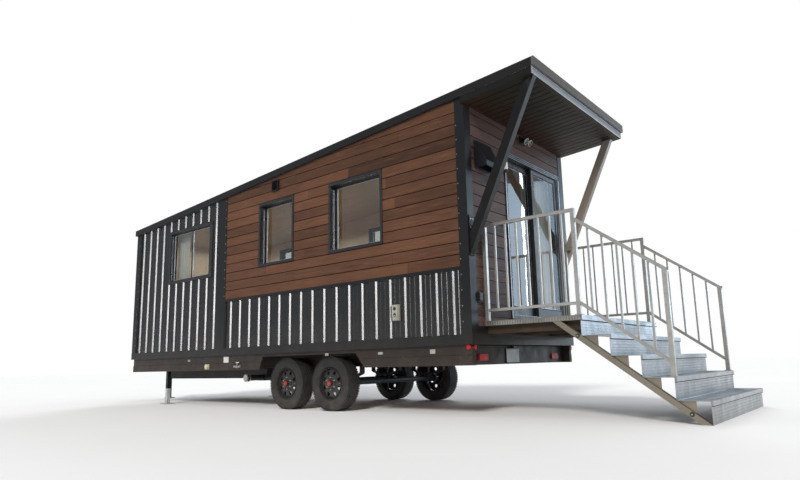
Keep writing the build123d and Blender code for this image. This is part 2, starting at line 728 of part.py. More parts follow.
# Fittings on the walls
HOOD_NEAR = -SIDE + 205
HOOD_WIDTH = 300
HOOD_TOP = 3060
HOOD_HEIGHT = 320
HOOD_DEPTH = 150
with BuildPart() as vent_hood:
    side_plate(
        [
            (E, HOOD_TOP - HOOD_HEIGHT),
            (E + HOOD_DEPTH, HOOD_TOP - HOOD_HEIGHT),
            (E + HOOD_DEPTH, HOOD_TOP - HOOD_HEIGHT + 60),
            (E + 28, HOOD_TOP),
            (E, HOOD_TOP),
        ],
        HOOD_NEAR,
        HOOD_NEAR + HOOD_WIDTH,
    )
    side_plate(
        [
            (E + 12, HOOD_TOP - HOOD_HEIGHT - 1),
            (E + HOOD_DEPTH - 10, HOOD_TOP - HOOD_HEIGHT - 1),
            (E + HOOD_DEPTH - 10, HOOD_TOP - HOOD_HEIGHT + 52),
            (E + 24, HOOD_TOP - 14),
            (E + 12, HOOD_TOP - 14),
        ],
        HOOD_NEAR + 8,
        HOOD_NEAR + HOOD_WIDTH - 8,
        mode=Mode.SUBTRACT,
    )
save(vent_hood, "vent_hood")

LANTERN_Y = -SIDE + 765
LANTERN_Z = 2880
FLOOD_Y = -SIDE + 1330
FLOOD_Z = SOFFIT_AT_DOOR - 78
with BuildPart() as wall_lamps:
    block(E, E + 16, LANTERN_Y - 55, LANTERN_Y + 55, LANTERN_Z - 55, LANTERN_Z + 75)
    tube((E + 66, LANTERN_Y, LANTERN_Z), (0, 0, 1), 38, 150)
    block(E + 10, E + 40, LANTERN_Y - 12, LANTERN_Y + 12, LANTERN_Z - 10, LANTERN_Z + 30)
    block(E, E + 52, FLOOD_Y - 60, FLOOD_Y + 60, FLOOD_Z - 50, FLOOD_Z + 50)
    for offset in (-48, 48):
        with BuildSketch(Plane(origin=(E + 46, FLOOD_Y + offset, FLOOD_Z - 4), z_dir=(0.82, 0, -0.57))):
            RegularPolygon(40, TUBE_SIDES)
        extrude(amount=72)
save(wall_lamps, "wall_lamps")

ribs = rib_centres(DIVIDER_E, E - CORNER_WIDTH)
OUTLET_X = min(((a + b) / 2 for a, b in zip(ribs, ribs[1:])), key=lambda x: abs(E - OUTLET_FROM_DOOR - x))
with BuildPart() as outlet_covers:
    half = OUTLET_WIDTH / 2
    top = OUTLET_BOTTOM + OUTLET_HEIGHT
    block(OUTLET_X - half, OUTLET_X + half, -SIDE - OUTLET_PROUD, -CORE_SIDE - SHEET, OUTLET_BOTTOM, top)
    vent_h = E - VENT_FROM_DOOR
    block(vent_h, vent_h + VENT_WIDTH, -SIDE - COVER_PROUD, -SIDE, VENT_BOTTOM, VENT_BOTTOM + VENT_HEIGHT)
    near = END_OUTLET_FROM_CORNER - SIDE
    top = END_OUTLET_BOTTOM + END_OUTLET_HEIGHT
    block(E, E + COVER_PROUD, near, near + END_OUTLET_WIDTH, END_OUTLET_BOTTOM, top)
save(outlet_covers, "outlet_covers")


# Trailer chassis
WHEEL_X = [E - a for a in AXLE_FROM_DOOR]
WELL_E = WHEEL_X[0] + TYRE_RADIUS + WHEEL_CLEAR_LENGTH
WELL_H = WHEEL_X[1] - TYRE_RADIUS - WHEEL_CLEAR_LENGTH
WELL_TOP = 2 * TYRE_RADIUS + WHEEL_CLEAR_HEIGHT
with BuildPart() as side_rails:
    for sign in (-1, 1):
        face = sign * CORE_SIDE
        back = sign * (CORE_SIDE - SIDE_RAIL_WIDTH)
        y0, y1 = sorted((face, back))
        side_plate(
            [
                (CORE_H, FLOOR_BOTTOM),
                (CORE_H, SIDE_RAIL_BOTTOM),
                (WELL_H - 60, SIDE_RAIL_BOTTOM),
                (WELL_H, WELL_TOP),
                (WELL_E, WELL_TOP),
                (WELL_E + 160, SIDE_RAIL_BOTTOM),
                (CORE_E, SIDE_RAIL_BOTTOM),
                (CORE_E, FLOOR_BOTTOM),
            ],
            y0,
            y1,
        )
        lip0, lip1 = sorted((face, sign * (CORE_SIDE - SIDE_RAIL_LIP)))
        block(CORE_H - 1, CORE_E + 1, lip0, lip1, SIDE_RAIL_STEP, BAND_BOTTOM, mode=Mode.SUBTRACT)
save(side_rails, "side_rails")

BEAM_H = H - 40
BEAM_E = E - REAR_CROSS_BACK - REAR_CROSS_DEPTH
with BuildPart() as main_beams:
    for sign in (-1, 1):
        y0 = sign * MAIN_BEAM_Y - MAIN_BEAM_WIDTH / 2
        y1 = sign * MAIN_BEAM_Y + MAIN_BEAM_WIDTH / 2
        end_plate(
            [
                (y0, MAIN_BEAM_BOTTOM),
                (y1, MAIN_BEAM_BOTTOM),
                (y1, MAIN_BEAM_BOTTOM + BEAM_FLANGE),
                (sign * MAIN_BEAM_Y + BEAM_WEB / 2, MAIN_BEAM_BOTTOM + BEAM_FLANGE),
                (sign * MAIN_BEAM_Y + BEAM_WEB / 2, BAND_BOTTOM - BEAM_FLANGE),
                (y1, BAND_BOTTOM - BEAM_FLANGE),
                (y1, BAND_BOTTOM),
                (y0, BAND_BOTTOM),
                (y0, BAND_BOTTOM - BEAM_FLANGE),
                (sign * MAIN_BEAM_Y - BEAM_WEB / 2, BAND_BOTTOM - BEAM_FLANGE),
                (sign * MAIN_BEAM_Y - BEAM_WEB / 2, MAIN_BEAM_BOTTOM + BEAM_FLANGE),
                (y0, MAIN_BEAM_BOTTOM + BEAM_FLANGE),
            ],
            CORE_H,
            BEAM_E,
        )
save(main_beams, "main_beams")

with BuildPart() as cross_members:
    rail_in = CORE_SIDE - SIDE_RAIL_WIDTH
    pitch = (CORE_E - CORE_H - CROSS_WIDTH) / (CROSS_COUNT - 1)
    for i in range(CROSS_COUNT):
        x = CORE_H + i * pitch
        block(x, x + CROSS_WIDTH, -rail_in, rail_in, BAND_BOTTOM, FLOOR_BOTTOM)
save(cross_members, "cross_members")

with BuildPart() as rear_cross:
    block(
        E - REAR_CROSS_BACK - REAR_CROSS_DEPTH,
        E - REAR_CROSS_BACK,
        -CORE_SIDE + SIDE_RAIL_WIDTH,
        CORE_SIDE - SIDE_RAIL_WIDTH,
        REAR_CROSS_BOTTOM,
        REAR_CROSS_TOP,
    )
save(rear_cross, "rear_crossmember")

# Drawbar: two converging box members, the coupler at their nose, and the front jack
NOSE_X = H - TONGUE_REACH
APEX_X = NOSE_X + COUPLER_LENGTH - 60
DRAW_TOP = DRAWBAR_BOTTOM + DRAWBAR_HEIGHT
with BuildPart() as drawbar:
    for sign in (-1, 1):
        plan_plate(
            [
                (CORE_H, sign * (MAIN_BEAM_Y + MAIN_BEAM_WIDTH / 2)),
                (CORE_H, sign * (MAIN_BEAM_Y - MAIN_BEAM_WIDTH / 2)),
                (APEX_X, -sign * DRAWBAR_NOSE / 6),
                (APEX_X, sign * DRAWBAR_NOSE),
            ],
            DRAWBAR_BOTTOM,
            DRAW_TOP,
        )
save(drawbar, "drawbar")

with BuildPart() as coupler:
    block(NOSE_X + 40, APEX_X, -50, 50, DRAWBAR_BOTTOM + 20, DRAW_TOP - 10)
    tube((NOSE_X + COUPLER_RADIUS, 0, COUPLER_BOTTOM + 45), (0, 0, 1), COUPLER_RADIUS, 90)
    with Locations((NOSE_X + COUPLER_RADIUS, 0, COUPLER_BOTTOM + SOCKET_DEPTH / 2 - 1)):
        Cylinder(SOCKET_RADIUS, SOCKET_DEPTH + 2, mode=Mode.SUBTRACT)
save(coupler, "coupler")

JACK_X = APEX_X + 190
JACK_BRACKET_HALF = 200  # reaches over both drawbar members
with BuildPart() as tongue_jack:
    tube((JACK_X, 0, DRAW_TOP / 2 + 60), (0, 0, 1), 32, DRAW_TOP + 120)
    tube((JACK_X, 0, JACK_FOOT_PLATE / 2), (0, 0, 1), 95, JACK_FOOT_PLATE)
    block(JACK_X - 70, JACK_X + 110, -JACK_BRACKET_HALF, JACK_BRACKET_HALF, DRAW_TOP, DRAW_TOP + 10)
save(tongue_jack, "tongue_jack")

# Running gear
OUT_Y = SIDE - TYRE_OUTER_INSET
IN_Y = OUT_Y - TYRE_WIDTH
HUB_IN = IN_Y + 10
with BuildPart() as axles:
    for x in WHEEL_X:
        tube((x, 0, TYRE_RADIUS), (0, 1, 0), AXLE_TUBE_RADIUS, 2 * (HUB_IN - AXLE_GAP))
        with Locations(Location((x, 0, TYRE_RADIUS), (90, 0, 0))):
            Cylinder(SPINDLE_RADIUS, 2 * (OUT_Y - RIM_DISC_BACK - 40))
        for sign in (-1, 1):
            block(
                x - 55,
                x + 55,
                sign * MAIN_BEAM_Y - SPRING_WIDTH / 2,
                sign * MAIN_BEAM_Y + SPRING_WIDTH / 2,
                TYRE_RADIUS,
                TYRE_RADIUS + AXLE_TUBE_RADIUS + 8,
            )
save(axles, "axles")

SEAT_Z = TYRE_RADIUS + AXLE_TUBE_RADIUS + 8
with BuildPart() as leaf_springs:
    for x in WHEEL_X:
        for sign in (-1, 1):
            tip_low = SEAT_Z + SPRING_RISE
            tip_high = tip_low + SPRING_THICKNESS
            with BuildSketch(Plane.XZ.offset(-(sign * MAIN_BEAM_Y + SPRING_WIDTH / 2))):
                with BuildLine():
                    low = ThreePointArc((x - SPRING_HALF, tip_low), (x, SEAT_Z), (x + SPRING_HALF, tip_low))
                    Line(low @ 1, (x + SPRING_HALF, tip_high))
                    high = ThreePointArc(
                        (x + SPRING_HALF, tip_high),
                        (x, SEAT_Z + SPRING_THICKNESS),
                        (x - SPRING_HALF, tip_high),
                    )
                    Line(high @ 1, low @ 0)
                make_face()
            extrude(amount=SPRING_WIDTH)
            for end in (-1, 1):
                hx = x + end * (SPRING_HALF - 18)
                block(
                    hx - 18,
                    hx + 18,
                    sign * MAIN_BEAM_Y - SPRING_WIDTH / 2,
                    sign * MAIN_BEAM_Y + SPRING_WIDTH / 2,
                    SEAT_Z + SPRING_RISE,
                    MAIN_BEAM_BOTTOM,
                )
save(leaf_springs, "leaf_springs")


def wheel_plane(x, sign, depth):
    """Plane across a wheel's axis, depth inward from the outer sidewall, looking inward."""
    return Plane(origin=(x, sign * (OUT_Y - depth), TYRE_RADIUS), z_dir=(0, -sign, 0), x_dir=(1, 0, 0))


def ring_of_flats(x, sign, depth, radius, sides):
    """Outline of flats across a wheel's axis, with a corner of them straight below it."""
    with BuildSketch(wheel_plane(x, sign, depth)) as outline:
        RegularPolygon(radius, sides)
    return outline.sketch


def tyre(x, sign):
    with BuildPart() as piece:
        tread = ring_of_flats(x, sign, TYRE_SHOULDER, TYRE_RADIUS, WHEEL_SIDES)
        extrude(tread, amount=TYRE_WIDTH - 2 * TYRE_SHOULDER)
        for shoulder, wall in ((TYRE_SHOULDER, 0), (TYRE_WIDTH - TYRE_SHOULDER, TYRE_WIDTH)):
            loft(
                [
                    ring_of_flats(x, sign, shoulder, TYRE_RADIUS, WHEEL_SIDES),
                    ring_of_flats(x, sign, wall, TYRE_RADIUS - TYRE_CORNER, WHEEL_SIDES),
                ],
                ruled=True,
            )
        extrude(ring_of_flats(x, sign, -1, RIM_RADIUS, WHEEL_SIDES), amount=TYRE_WIDTH + 2, mode=Mode.SUBTRACT)
    return piece


def rim(x, sign):
    with BuildPart() as piece:
        extrude(ring_of_flats(x, sign, 6, RIM_RADIUS, WHEEL_SIDES), amount=TYRE_WIDTH - 12)
        inner = RIM_RADIUS - RIM_WALL
        extrude(ring_of_flats(x, sign, 5, inner, WHEEL_SIDES), amount=RIM_DISC_BACK - 5, mode=Mode.SUBTRACT)
        disc_in = RIM_DISC_BACK + RIM_DISC
        extrude(ring_of_flats(x, sign, disc_in, inner, WHEEL_SIDES), amount=TYRE_WIDTH, mode=Mode.SUBTRACT)
        with BuildSketch(wheel_plane(x, sign, RIM_DISC_BACK - 1)):
            with PolarLocations(RIM_HOLE_CIRCLE, RIM_HOLES, start_angle=22.5):
                RegularPolygon(RIM_HOLE_RADIUS, HOLE_SIDES)
        extrude(amount=RIM_DISC + 2, mode=Mode.SUBTRACT)
        hub = ring_of_flats(x, sign, RIM_DISC_BACK, HUB_RADIUS, HUB_SIDES)
        extrude(hub, amount=OUT_Y - RIM_DISC_BACK - HUB_IN)
        cap = ring_of_flats(x, sign, -HUB_CAP_PROUD, HUB_CAP_RADIUS, HUB_SIDES)
        extrude(cap, amount=HUB_CAP_PROUD + RIM_DISC_BACK + 2)
        with BuildSketch(wheel_plane(x, sign, RIM_DISC_BACK + 30)):
            Circle(SPINDLE_RADIUS + SPINDLE_FIT)
        extrude(amount=TYRE_WIDTH, mode=Mode.SUBTRACT)
    return piece


for place, x in (("rear", WHEEL_X[0]), ("front", WHEEL_X[1])):
    for side_name, sign in (("near", -1), ("far", 1)):
        save(tyre(x, sign), f"tyre_{place}_{side_name}")
        save(rim(x, sign), f"rim_{place}_{side_name}")

# Stabiliser legs under the hitch end
with BuildPart() as stabiliser_legs:
    x = E - JACK_FROM_DOOR
    for sign in (-1, 1):
        y = sign * (CORE_SIDE - SIDE_RAIL_WIDTH - JACK_TUBE / 2)
        block(x - JACK_TUBE / 2, x + JACK_TUBE / 2, y - JACK_TUBE / 2, y + JACK_TUBE / 2, 0, FLOOR_BOTTOM - 20)
        block(x - JACK_FOOT / 2, x + JACK_FOOT / 2, y - JACK_FOOT / 2, y + JACK_FOOT / 2, 0, JACK_FOOT_PLATE)
save(stabiliser_legs, "stabiliser_legs")

# Lamps and plate under the cabin
MARKER_RADIUS = 26
MARKER_DEPTH = 16
MARKER_Z = 730
MARKER_FROM_DOOR = 62
REFLECTOR_FROM_SIDE = 285  # its outer end inside the cabin's side
REFLECTOR_WIDTH = 170
REFLECTOR_BOTTOM = 587
REFLECTOR_HEIGHT = 70
REFLECTOR_DEPTH = 22
PLATE_FROM_CORNER = 880
PLATE_WIDTH = 305
PLATE_BOTTOM = 558
PLATE_HEIGHT = 152
PLATE_DEPTH = 8
with BuildPart() as marker_lamps:
    for sign in (-1, 1):
        seat = CORE_SIDE - SIDE_RAIL_LIP
        side_y = sign * (seat + MARKER_DEPTH / 2)
        tube((E - MARKER_FROM_DOOR, side_y, MARKER_Z), (0, 1, 0), MARKER_RADIUS, MARKER_DEPTH)
        end_x = CORE_E + MARKER_DEPTH / 2
        tube((end_x, sign * (CORE_SIDE - 43), MARKER_Z), (1, 0, 0), MARKER_RADIUS, MARKER_DEPTH)
        face = E - REAR_CROSS_BACK
        outer = SIDE - REFLECTOR_FROM_SIDE
        y0, y1 = sorted((sign * outer, sign * (outer - REFLECTOR_WIDTH)))
        block(face, face + REFLECTOR_DEPTH, y0, y1, REFLECTOR_BOTTOM, REFLECTOR_BOTTOM + REFLECTOR_HEIGHT)
save(marker_lamps, "marker_lamps")

with BuildPart() as number_plate:
    face = E - REAR_CROSS_BACK
    near = PLATE_FROM_CORNER - SIDE
    block(face, face + PLATE_DEPTH, near, near + PLATE_WIDTH, PLATE_BOTTOM, PLATE_BOTTOM + PLATE_HEIGHT)
save(number_plate, "number_plate")

# Holding tank hung by its rim under the main beams, with a sump at the drain
PIPE_X = E - PIPE_FROM_DOOR
TANK_H = H + TANK_FROM_HITCH
TANK_E = PIPE_X + TANK_PAST_PIPE
TANK_HALF = MAIN_BEAM_Y - MAIN_BEAM_WIDTH / 2 - TANK_MARGIN
RIM_HALF = MAIN_BEAM_Y + MAIN_BEAM_WIDTH / 2 - TANK_MARGIN
with BuildPart() as holding_tank:
    side_plate(
        [
            (TANK_H, MAIN_BEAM_BOTTOM),
            (TANK_H + TANK_BEVEL / 2, TANK_BOTTOM),
            (TANK_E - SUMP_LENGTH - TANK_BEVEL, TANK_BOTTOM),
            (TANK_E - SUMP_LENGTH, SUMP_BOTTOM),
            (TANK_E - TANK_BEVEL, SUMP_BOTTOM),
            (TANK_E, SUMP_BOTTOM + TANK_BEVEL),
            (TANK_E, MAIN_BEAM_BOTTOM),
        ],
        -TANK_HALF,
        TANK_HALF,
    )
    block(TANK_H, TANK_E, -RIM_HALF, RIM_HALF, MAIN_BEAM_BOTTOM - TANK_RIM, MAIN_BEAM_BOTTOM)
save(holding_tank, "holding_tank")

# Waste pipe with its collar
with BuildPart() as waste_pipe:
    pipe_end = -SIDE + PIPE_INSET
    tube((PIPE_X, (pipe_end - TANK_HALF) / 2, PIPE_Z), (0, 1, 0), PIPE_RADIUS, -pipe_end - TANK_HALF)
    tube((PIPE_X, pipe_end, PIPE_Z), (0, 1, 0), COLLAR_RADIUS, COLLAR_LENGTH)
save(waste_pipe, "waste_pipe")

# Landing: a folded aluminium tray on joists
LAND_X0 = CORE_E + BAND_THICKNESS
LAND_X1 = E + LANDING_REACH
LAND_Y0 = -SIDE + LANDING_NEAR
LAND_Y1 = SIDE + LANDING_PAST_FAR
APRON_BOTTOM = LANDING_TOP - LANDING_APRON
with BuildPart() as landing:
    block(LAND_X0, LAND_X1, LAND_Y0, LAND_Y1, APRON_BOTTOM, LANDING_TOP)
    block(
        LAND_X0 + PLATE,
        LAND_X1 - PLATE,
        LAND_Y0 + PLATE,
        LAND_Y1 - PLATE,
        APRON_BOTTOM - 1,
        LANDING_TOP - PLATE,
        mode=Mode.SUBTRACT,
    )
    riser_x = LAND_X1 - RISER_BACK
    block(riser_x - PLATE, riser_x, LAND_Y0, LAND_Y1, LANDING_TOP - STEP_RISE, LANDING_TOP - PLATE)
save(landing, "landing_deck")

JOIST_TOP = LANDING_TOP - PLATE
with BuildPart() as joists:
    j1 = LAND_X1 - RISER_BACK - PLATE
    first = LAND_Y0 + PLATE + STRINGER
    last = LAND_Y1 - PLATE - STRINGER - JOIST_WIDTH
    for i in range(JOIST_COUNT):
        y = first + (last - first) * i / (JOIST_COUNT - 1)
        block(LAND_X0 + PLATE, j1, y, y + JOIST_WIDTH, JOIST_TOP - JOIST_HEIGHT, JOIST_TOP)
    ledge = LAND_X0 + PLATE
    under = JOIST_TOP - JOIST_HEIGHT
    block(ledge, ledge + JOIST_WIDTH, first, last + JOIST_WIDTH, under, JOIST_TOP)
    block(LAND_X0, ledge + 1, first, last + JOIST_WIDTH, under, APRON_BOTTOM)
save(joists, "landing_joists")

with BuildPart() as treads:
    for k in range(1, STEP_COUNT + 1):
        nose = LAND_X1 + k * STEP_RUN
        top = LANDING_TOP - k * STEP_RISE
        back = nose - STEP_RUN - RISER_BACK + TREAD_GAP
        foot = top - STEP_RISE + (0.0 if k == STEP_COUNT else 0.6)
        side_plate(
            [
                (back, top),
                (nose, top),
                (nose, top - NOSE_LIP),
                (nose - RISER_BACK, top - NOSE_LIP),
                (nose - RISER_BACK, foot),
                (nose - RISER_BACK - PLATE, foot),
                (nose - RISER_BACK - PLATE, top - PLATE),
                (back, top - PLATE),
            ],
            LAND_Y0,
            LAND_Y1,
        )
save(treads, "stair_treads")

# Two sloping square tubes carry the treads down to the ground
SLOPE = STEP_RISE / STEP_RUN
RUN_ANGLE = math.atan(SLOPE)
TUBE_DROP = STRINGER / math.cos(RUN_ANGLE)


def stringer_top(x):
    """Top of the tube: it passes through the back lower corner of each riser."""
    return LANDING_TOP - STEP_RISE - SLOPE * (x - (LAND_X1 - RISER_BACK - PLATE))


def stringer_x(z):
    """Where the top of the tube passes height z."""
    return LAND_X1 - RISER_BACK - PLATE + (LANDING_TOP - STEP_RISE - z) / SLOPE


with BuildPart() as stringers:
    for y in (LAND_Y0 + PLATE, LAND_Y1 - PLATE - STRINGER):
        side_plate(
            [
                (stringer_x(JOIST_TOP), JOIST_TOP),
                (stringer_x(0), 0.0),
                (stringer_x(TUBE_DROP), 0.0),
                (stringer_x(JOIST_TOP + TUBE_DROP), JOIST_TOP),
            ],
            y,
            y + STRINGER,
        )
        for k in range(1, STEP_COUNT + 1):
            back = LAND_X1 + (k - 1) * STEP_RUN - RISER_BACK
            under = LANDING_TOP - k * STEP_RISE - PLATE
            side_plate(
                [
                    (back, under),
                    (back + 150, under),
                    (back + 150, stringer_top(back + 150) - 2),
                    (back, stringer_top(back) - 2),
                ],
                y + 20,
                y + 26,
            )
save(stringers, "stair_stringers")


# Railings
def post(x, y, z0, z1):
    block(x - POST / 2, x + POST / 2, y - POST / 2, y + POST / 2, z0, z1)


NEAR_RAIL_Y = LAND_Y0 + RAIL_INSET
FAR_RAIL_Y = SIDE - BRACE_INSET - BRACE_WIDTH - BRACE_PLATE_MARGIN - RAIL_TO_BRACE - POST / 2
WALL_POST_X = LAND_X0 + POST / 2 + 6
CORNER_POST_X = LAND_X1 - RAIL_INSET
RAIL_TOP = LANDING_TOP + RAIL_TOP_HEIGHT
LOWER_POST_X = LAND_X1 + 3 * STEP_RUN - LOWER_POST_FROM_NOSE
LOWER_POST_Z = LANDING_TOP - 3 * STEP_RISE

HAND_TOP = RAIL_TOP - HANDRAIL_DROP
LOW_TOP = LANDING_TOP + LOW_RAIL_CLEAR + LOW_RAIL
SLOPE_X = CORNER_POST_X + POST / 2


def sloped(x, z):
    """Height at x of a line that leaves the landing post at height z and follows the stair."""
    return z - SLOPE * (x - SLOPE_X)


def balusters(x0, x1, y, low, high):
    """Square bars between two posts; low and high give their ends at each X."""
    count = int((x1 - x0) // BALUSTER_PITCH)
    for i in range(1, count):
        x = x0 + (x1 - x0) * i / count
        half = BALUSTER / 2
        block(x - half, x + half, y - half, y + half, low(x), high(x))


with BuildPart() as landing_railings:
    for y in (NEAR_RAIL_Y, FAR_RAIL_Y):
        post(WALL_POST_X, y, LANDING_TOP, RAIL_TOP)
        post(CORNER_POST_X, y, LANDING_TOP, RAIL_TOP)
        block(WALL_POST_X, CORNER_POST_X, y - POST / 2, y + POST / 2, RAIL_TOP - TOP_RAIL_HEIGHT, RAIL_TOP)
        block(WALL_POST_X, CORNER_POST_X, y - LOW_RAIL / 2, y + LOW_RAIL / 2, LOW_TOP - LOW_RAIL, LOW_TOP)
        rail_under = RAIL_TOP - TOP_RAIL_HEIGHT
        balusters(WALL_POST_X, CORNER_POST_X, y, lambda x: LOW_TOP - 10, lambda x: rail_under + 10)
save(landing_railings, "landing_railings")

with BuildPart() as stair_railings:
    hand = TOP_RAIL_HEIGHT / math.cos(RUN_ANGLE)
    low = LOW_RAIL / math.cos(RUN_ANGLE)
    hand_end = LOWER_POST_X + POST / 2 + 6
    for y in (NEAR_RAIL_Y, FAR_RAIL_Y):
        post(LOWER_POST_X, y, LOWER_POST_Z, sloped(LOWER_POST_X, HAND_TOP) - hand / 2)
        side_plate(
            [
                (SLOPE_X, HAND_TOP),
                (hand_end, sloped(hand_end, HAND_TOP)),
                (hand_end, sloped(hand_end, HAND_TOP) - hand),
                (SLOPE_X, HAND_TOP - hand),
            ],
            y - POST / 2,
            y + POST / 2,
        )
        side_plate(
            [
                (SLOPE_X, LOW_TOP),
                (LOWER_POST_X, sloped(LOWER_POST_X, LOW_TOP)),
                (LOWER_POST_X, sloped(LOWER_POST_X, LOW_TOP) - low),
                (SLOPE_X, LOW_TOP - low),
            ],
            y - LOW_RAIL / 2,
            y + LOW_RAIL / 2,
        )
        balusters(
            CORNER_POST_X,
            LOWER_POST_X,
            y,
            lambda x: sloped(x, LOW_TOP) - low / 2,
            lambda x: sloped(x, HAND_TOP) - hand / 2,
        )
save(stair_railings, "stair_railings")
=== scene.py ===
"""Looks of the tiny house on wheels: ribbed metal, composite boards, aluminium steps, trailer.

Everything is in metres, in the frame of the construction model: +X runs toward the door end,
-Y is the long side with the three windows, and +Z is up from the ground.
"""

import math
import random

import bmesh
import bpy
from mathutils import Matrix, Vector

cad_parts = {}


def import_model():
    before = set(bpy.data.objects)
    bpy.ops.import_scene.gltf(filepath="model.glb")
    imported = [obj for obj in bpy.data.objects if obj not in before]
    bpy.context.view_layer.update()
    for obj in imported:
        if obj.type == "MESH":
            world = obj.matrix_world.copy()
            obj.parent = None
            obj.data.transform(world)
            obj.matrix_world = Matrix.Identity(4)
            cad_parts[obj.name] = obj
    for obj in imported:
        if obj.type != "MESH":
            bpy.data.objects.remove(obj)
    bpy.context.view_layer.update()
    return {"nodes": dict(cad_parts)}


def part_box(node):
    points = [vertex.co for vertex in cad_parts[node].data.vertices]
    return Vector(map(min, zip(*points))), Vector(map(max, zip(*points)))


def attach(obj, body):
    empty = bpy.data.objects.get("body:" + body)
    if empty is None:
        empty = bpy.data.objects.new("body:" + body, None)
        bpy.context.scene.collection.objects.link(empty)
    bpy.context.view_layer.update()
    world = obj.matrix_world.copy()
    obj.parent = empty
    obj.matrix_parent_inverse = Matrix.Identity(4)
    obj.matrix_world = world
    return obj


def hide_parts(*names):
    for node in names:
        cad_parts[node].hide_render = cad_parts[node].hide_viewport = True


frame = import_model()
NODES = frame["nodes"]
X, Y, Z = Vector((1, 0, 0)), Vector((0, 1, 0)), Vector((0, 0, 1))
SIDES = ((-1, "near"), (1, "far"))

# Sizes read from the construction model; E is the door end's face and H the hitch end's
WALL_LOW, WALL_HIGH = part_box("near_wall")
SIDING_LOW, SIDING_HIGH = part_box("wood_siding_near")
END_LOW, END_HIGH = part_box("wood_siding_door_end")
TYRE_LOW, TYRE_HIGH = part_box("tyre_rear_near")
DECK_LOW, DECK_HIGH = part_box("landing_deck")
DOOR_LOW, DOOR_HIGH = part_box("patio_door_frame")
HOOD_LOW, HOOD_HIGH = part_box("vent_hood")
RAIL_LOW, RAIL_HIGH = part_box("landing_railings")
STAIR_RAIL_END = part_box("stair_railings")[1].x
SOFFIT_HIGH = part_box("canopy_soffit")[1]
E, H = END_HIGH.x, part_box("metal_cladding_hitch_end")[0].x
SIDE, CORE_SIDE = -SIDING_LOW.y, -WALL_LOW.y
TRIM_OUT = -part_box("wall_trims")[0].y
CORE_E, CORE_H, WALL_TOP = WALL_HIGH.x, WALL_LOW.x, WALL_HIGH.z
BAND_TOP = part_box("metal_cladding_near")[0].z
BOARD_BOTTOM, BOARDS_H, BOARDS_E = SIDING_LOW.z, SIDING_LOW.x, SIDING_HIGH.x
WHEEL_X = [sum(corner.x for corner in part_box(f"tyre_{place}_near")) / 2 for place in ("rear", "front")]
TYRE_RADIUS, TYRE_OUT, TYRE_IN = TYRE_HIGH.z / 2, -TYRE_LOW.y, -TYRE_HIGH.y
ROOF_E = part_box("roof_slab")[1].x
FASCIA_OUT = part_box("roof_fascia")[1].y

# Sizes repeated from the construction model
ROOF_FALL, CEILING_THICKNESS = 0.069, 0.079
RIB_PITCH, RIB_BASE, RIB_TOP = 0.2286, 0.062, 0.030
SHEET, CORNER = 0.004, 0.120
METAL_BAY, DIVIDER, CAP_HEIGHT = 2.605, 0.223, 0.039
STEP_COUNT, STEP_RUN = 4, 0.275
NOSE_LIP, RISER_BACK, PLATE_THICKNESS = 0.042, 0.014, 0.005
APRON, STRINGER, POST = 0.050, 0.055, 0.042
FRAME_WIDTH, SASH_WIDTH, MULLION, DOOR_HEAD = 0.038, 0.026, 0.034, 0.070
# Windows: hitch-side edge from the door end, width, sill, head, recess
WINDOW_A = (6.160, 1.245, 2.004, 2.910, 0.048)
WINDOW_B = (3.678, 0.785, 2.012, 2.957, 0.092)
WINDOW_C = (2.185, 0.949, 2.012, 2.957, 0.092)
RIM_RADIUS, RIM_DISC_BACK, RIM_DISC = 0.203, 0.034, 0.012
RIM_HOLES, RIM_HOLE_RADIUS, RIM_HOLE_CIRCLE = 8, 0.024, 0.142
HUB_RADIUS, HUB_CAP_RADIUS, HUB_CAP_PROUD = 0.056, 0.031, 0.016
# Covers: place, width, bottom, height, proud
OUTLET = (0.948, 0.098, 1.067, 0.188, 0.030)
VENT = (3.364, 0.144, 3.086, 0.160, 0.034)
END_OUTLET = (0.124, 0.076, 1.209, 0.112, 0.034)
LANTERN_Y, LANTERN_Z, FLOOD_Y = -0.480, 2.880, 0.085
PIPE_X, PIPE_Z, COLLAR_RADIUS = -0.889, 0.420, 0.052
FAR_BRACE_FOOT, MARKER_Z = 1.837, 0.730

# Sizes of what is added here
MINOR_RIB, MINOR_RIB_OFFSET = (0.022, 0.011, 0.002), 0.036
METAL_GAUGE = 0.0012
BOARD_PITCH, BOARD_GAP, BUTT_GAP, BOARD_BACK = 0.1365, 0.0095, 0.0015, 0.003
END_BOARD_LINE, FIRST_BOARD, BOARD_LENGTHS, SHORTEST_BOARD = 1.063, 0.6, (1.9, 3.7), 0.5
DIAMOND_PITCH, DIAMOND_LENGTH, DIAMOND_WIDTH, DIAMOND_HEIGHT = 0.025, 0.022, 0.0065, 0.0016
PLATE_EDGE, SUNK = 0.008, 0.0002
SCREW_ROWS, SCREW_BESIDE_RIB, SCREW_CLEAR = (0.93, 1.50, 2.35, 2.95), 0.012, 0.05
TYRE_GROOVES, TYRE_LUGS, LUG_HALF, LUG_HEIGHT = (-0.055, -0.019, 0.019, 0.055), 60, 0.014, 0.0125
DISC_INNER, DISC_OUTER, NUT_CIRCLE, NUT_COUNT, STEM_REACH = 0.098, 0.186, 0.078, 6, 0.176
SPRING_END, LEG_TUBE_END, STRINGER_CAPS = 0.282, 0.254, (0.085, 0.80)
CORNER_SCREWS, CORNER_SCREW_LOW, CORNER_SCREW_STEPS = 14, 1.0, (0.17, 0.14)
PANEL_LINE, CURTAIN_DEPTH, FOLD_COLUMNS, CLOTH_ROWS = 2.39, 0.056, 16, 28
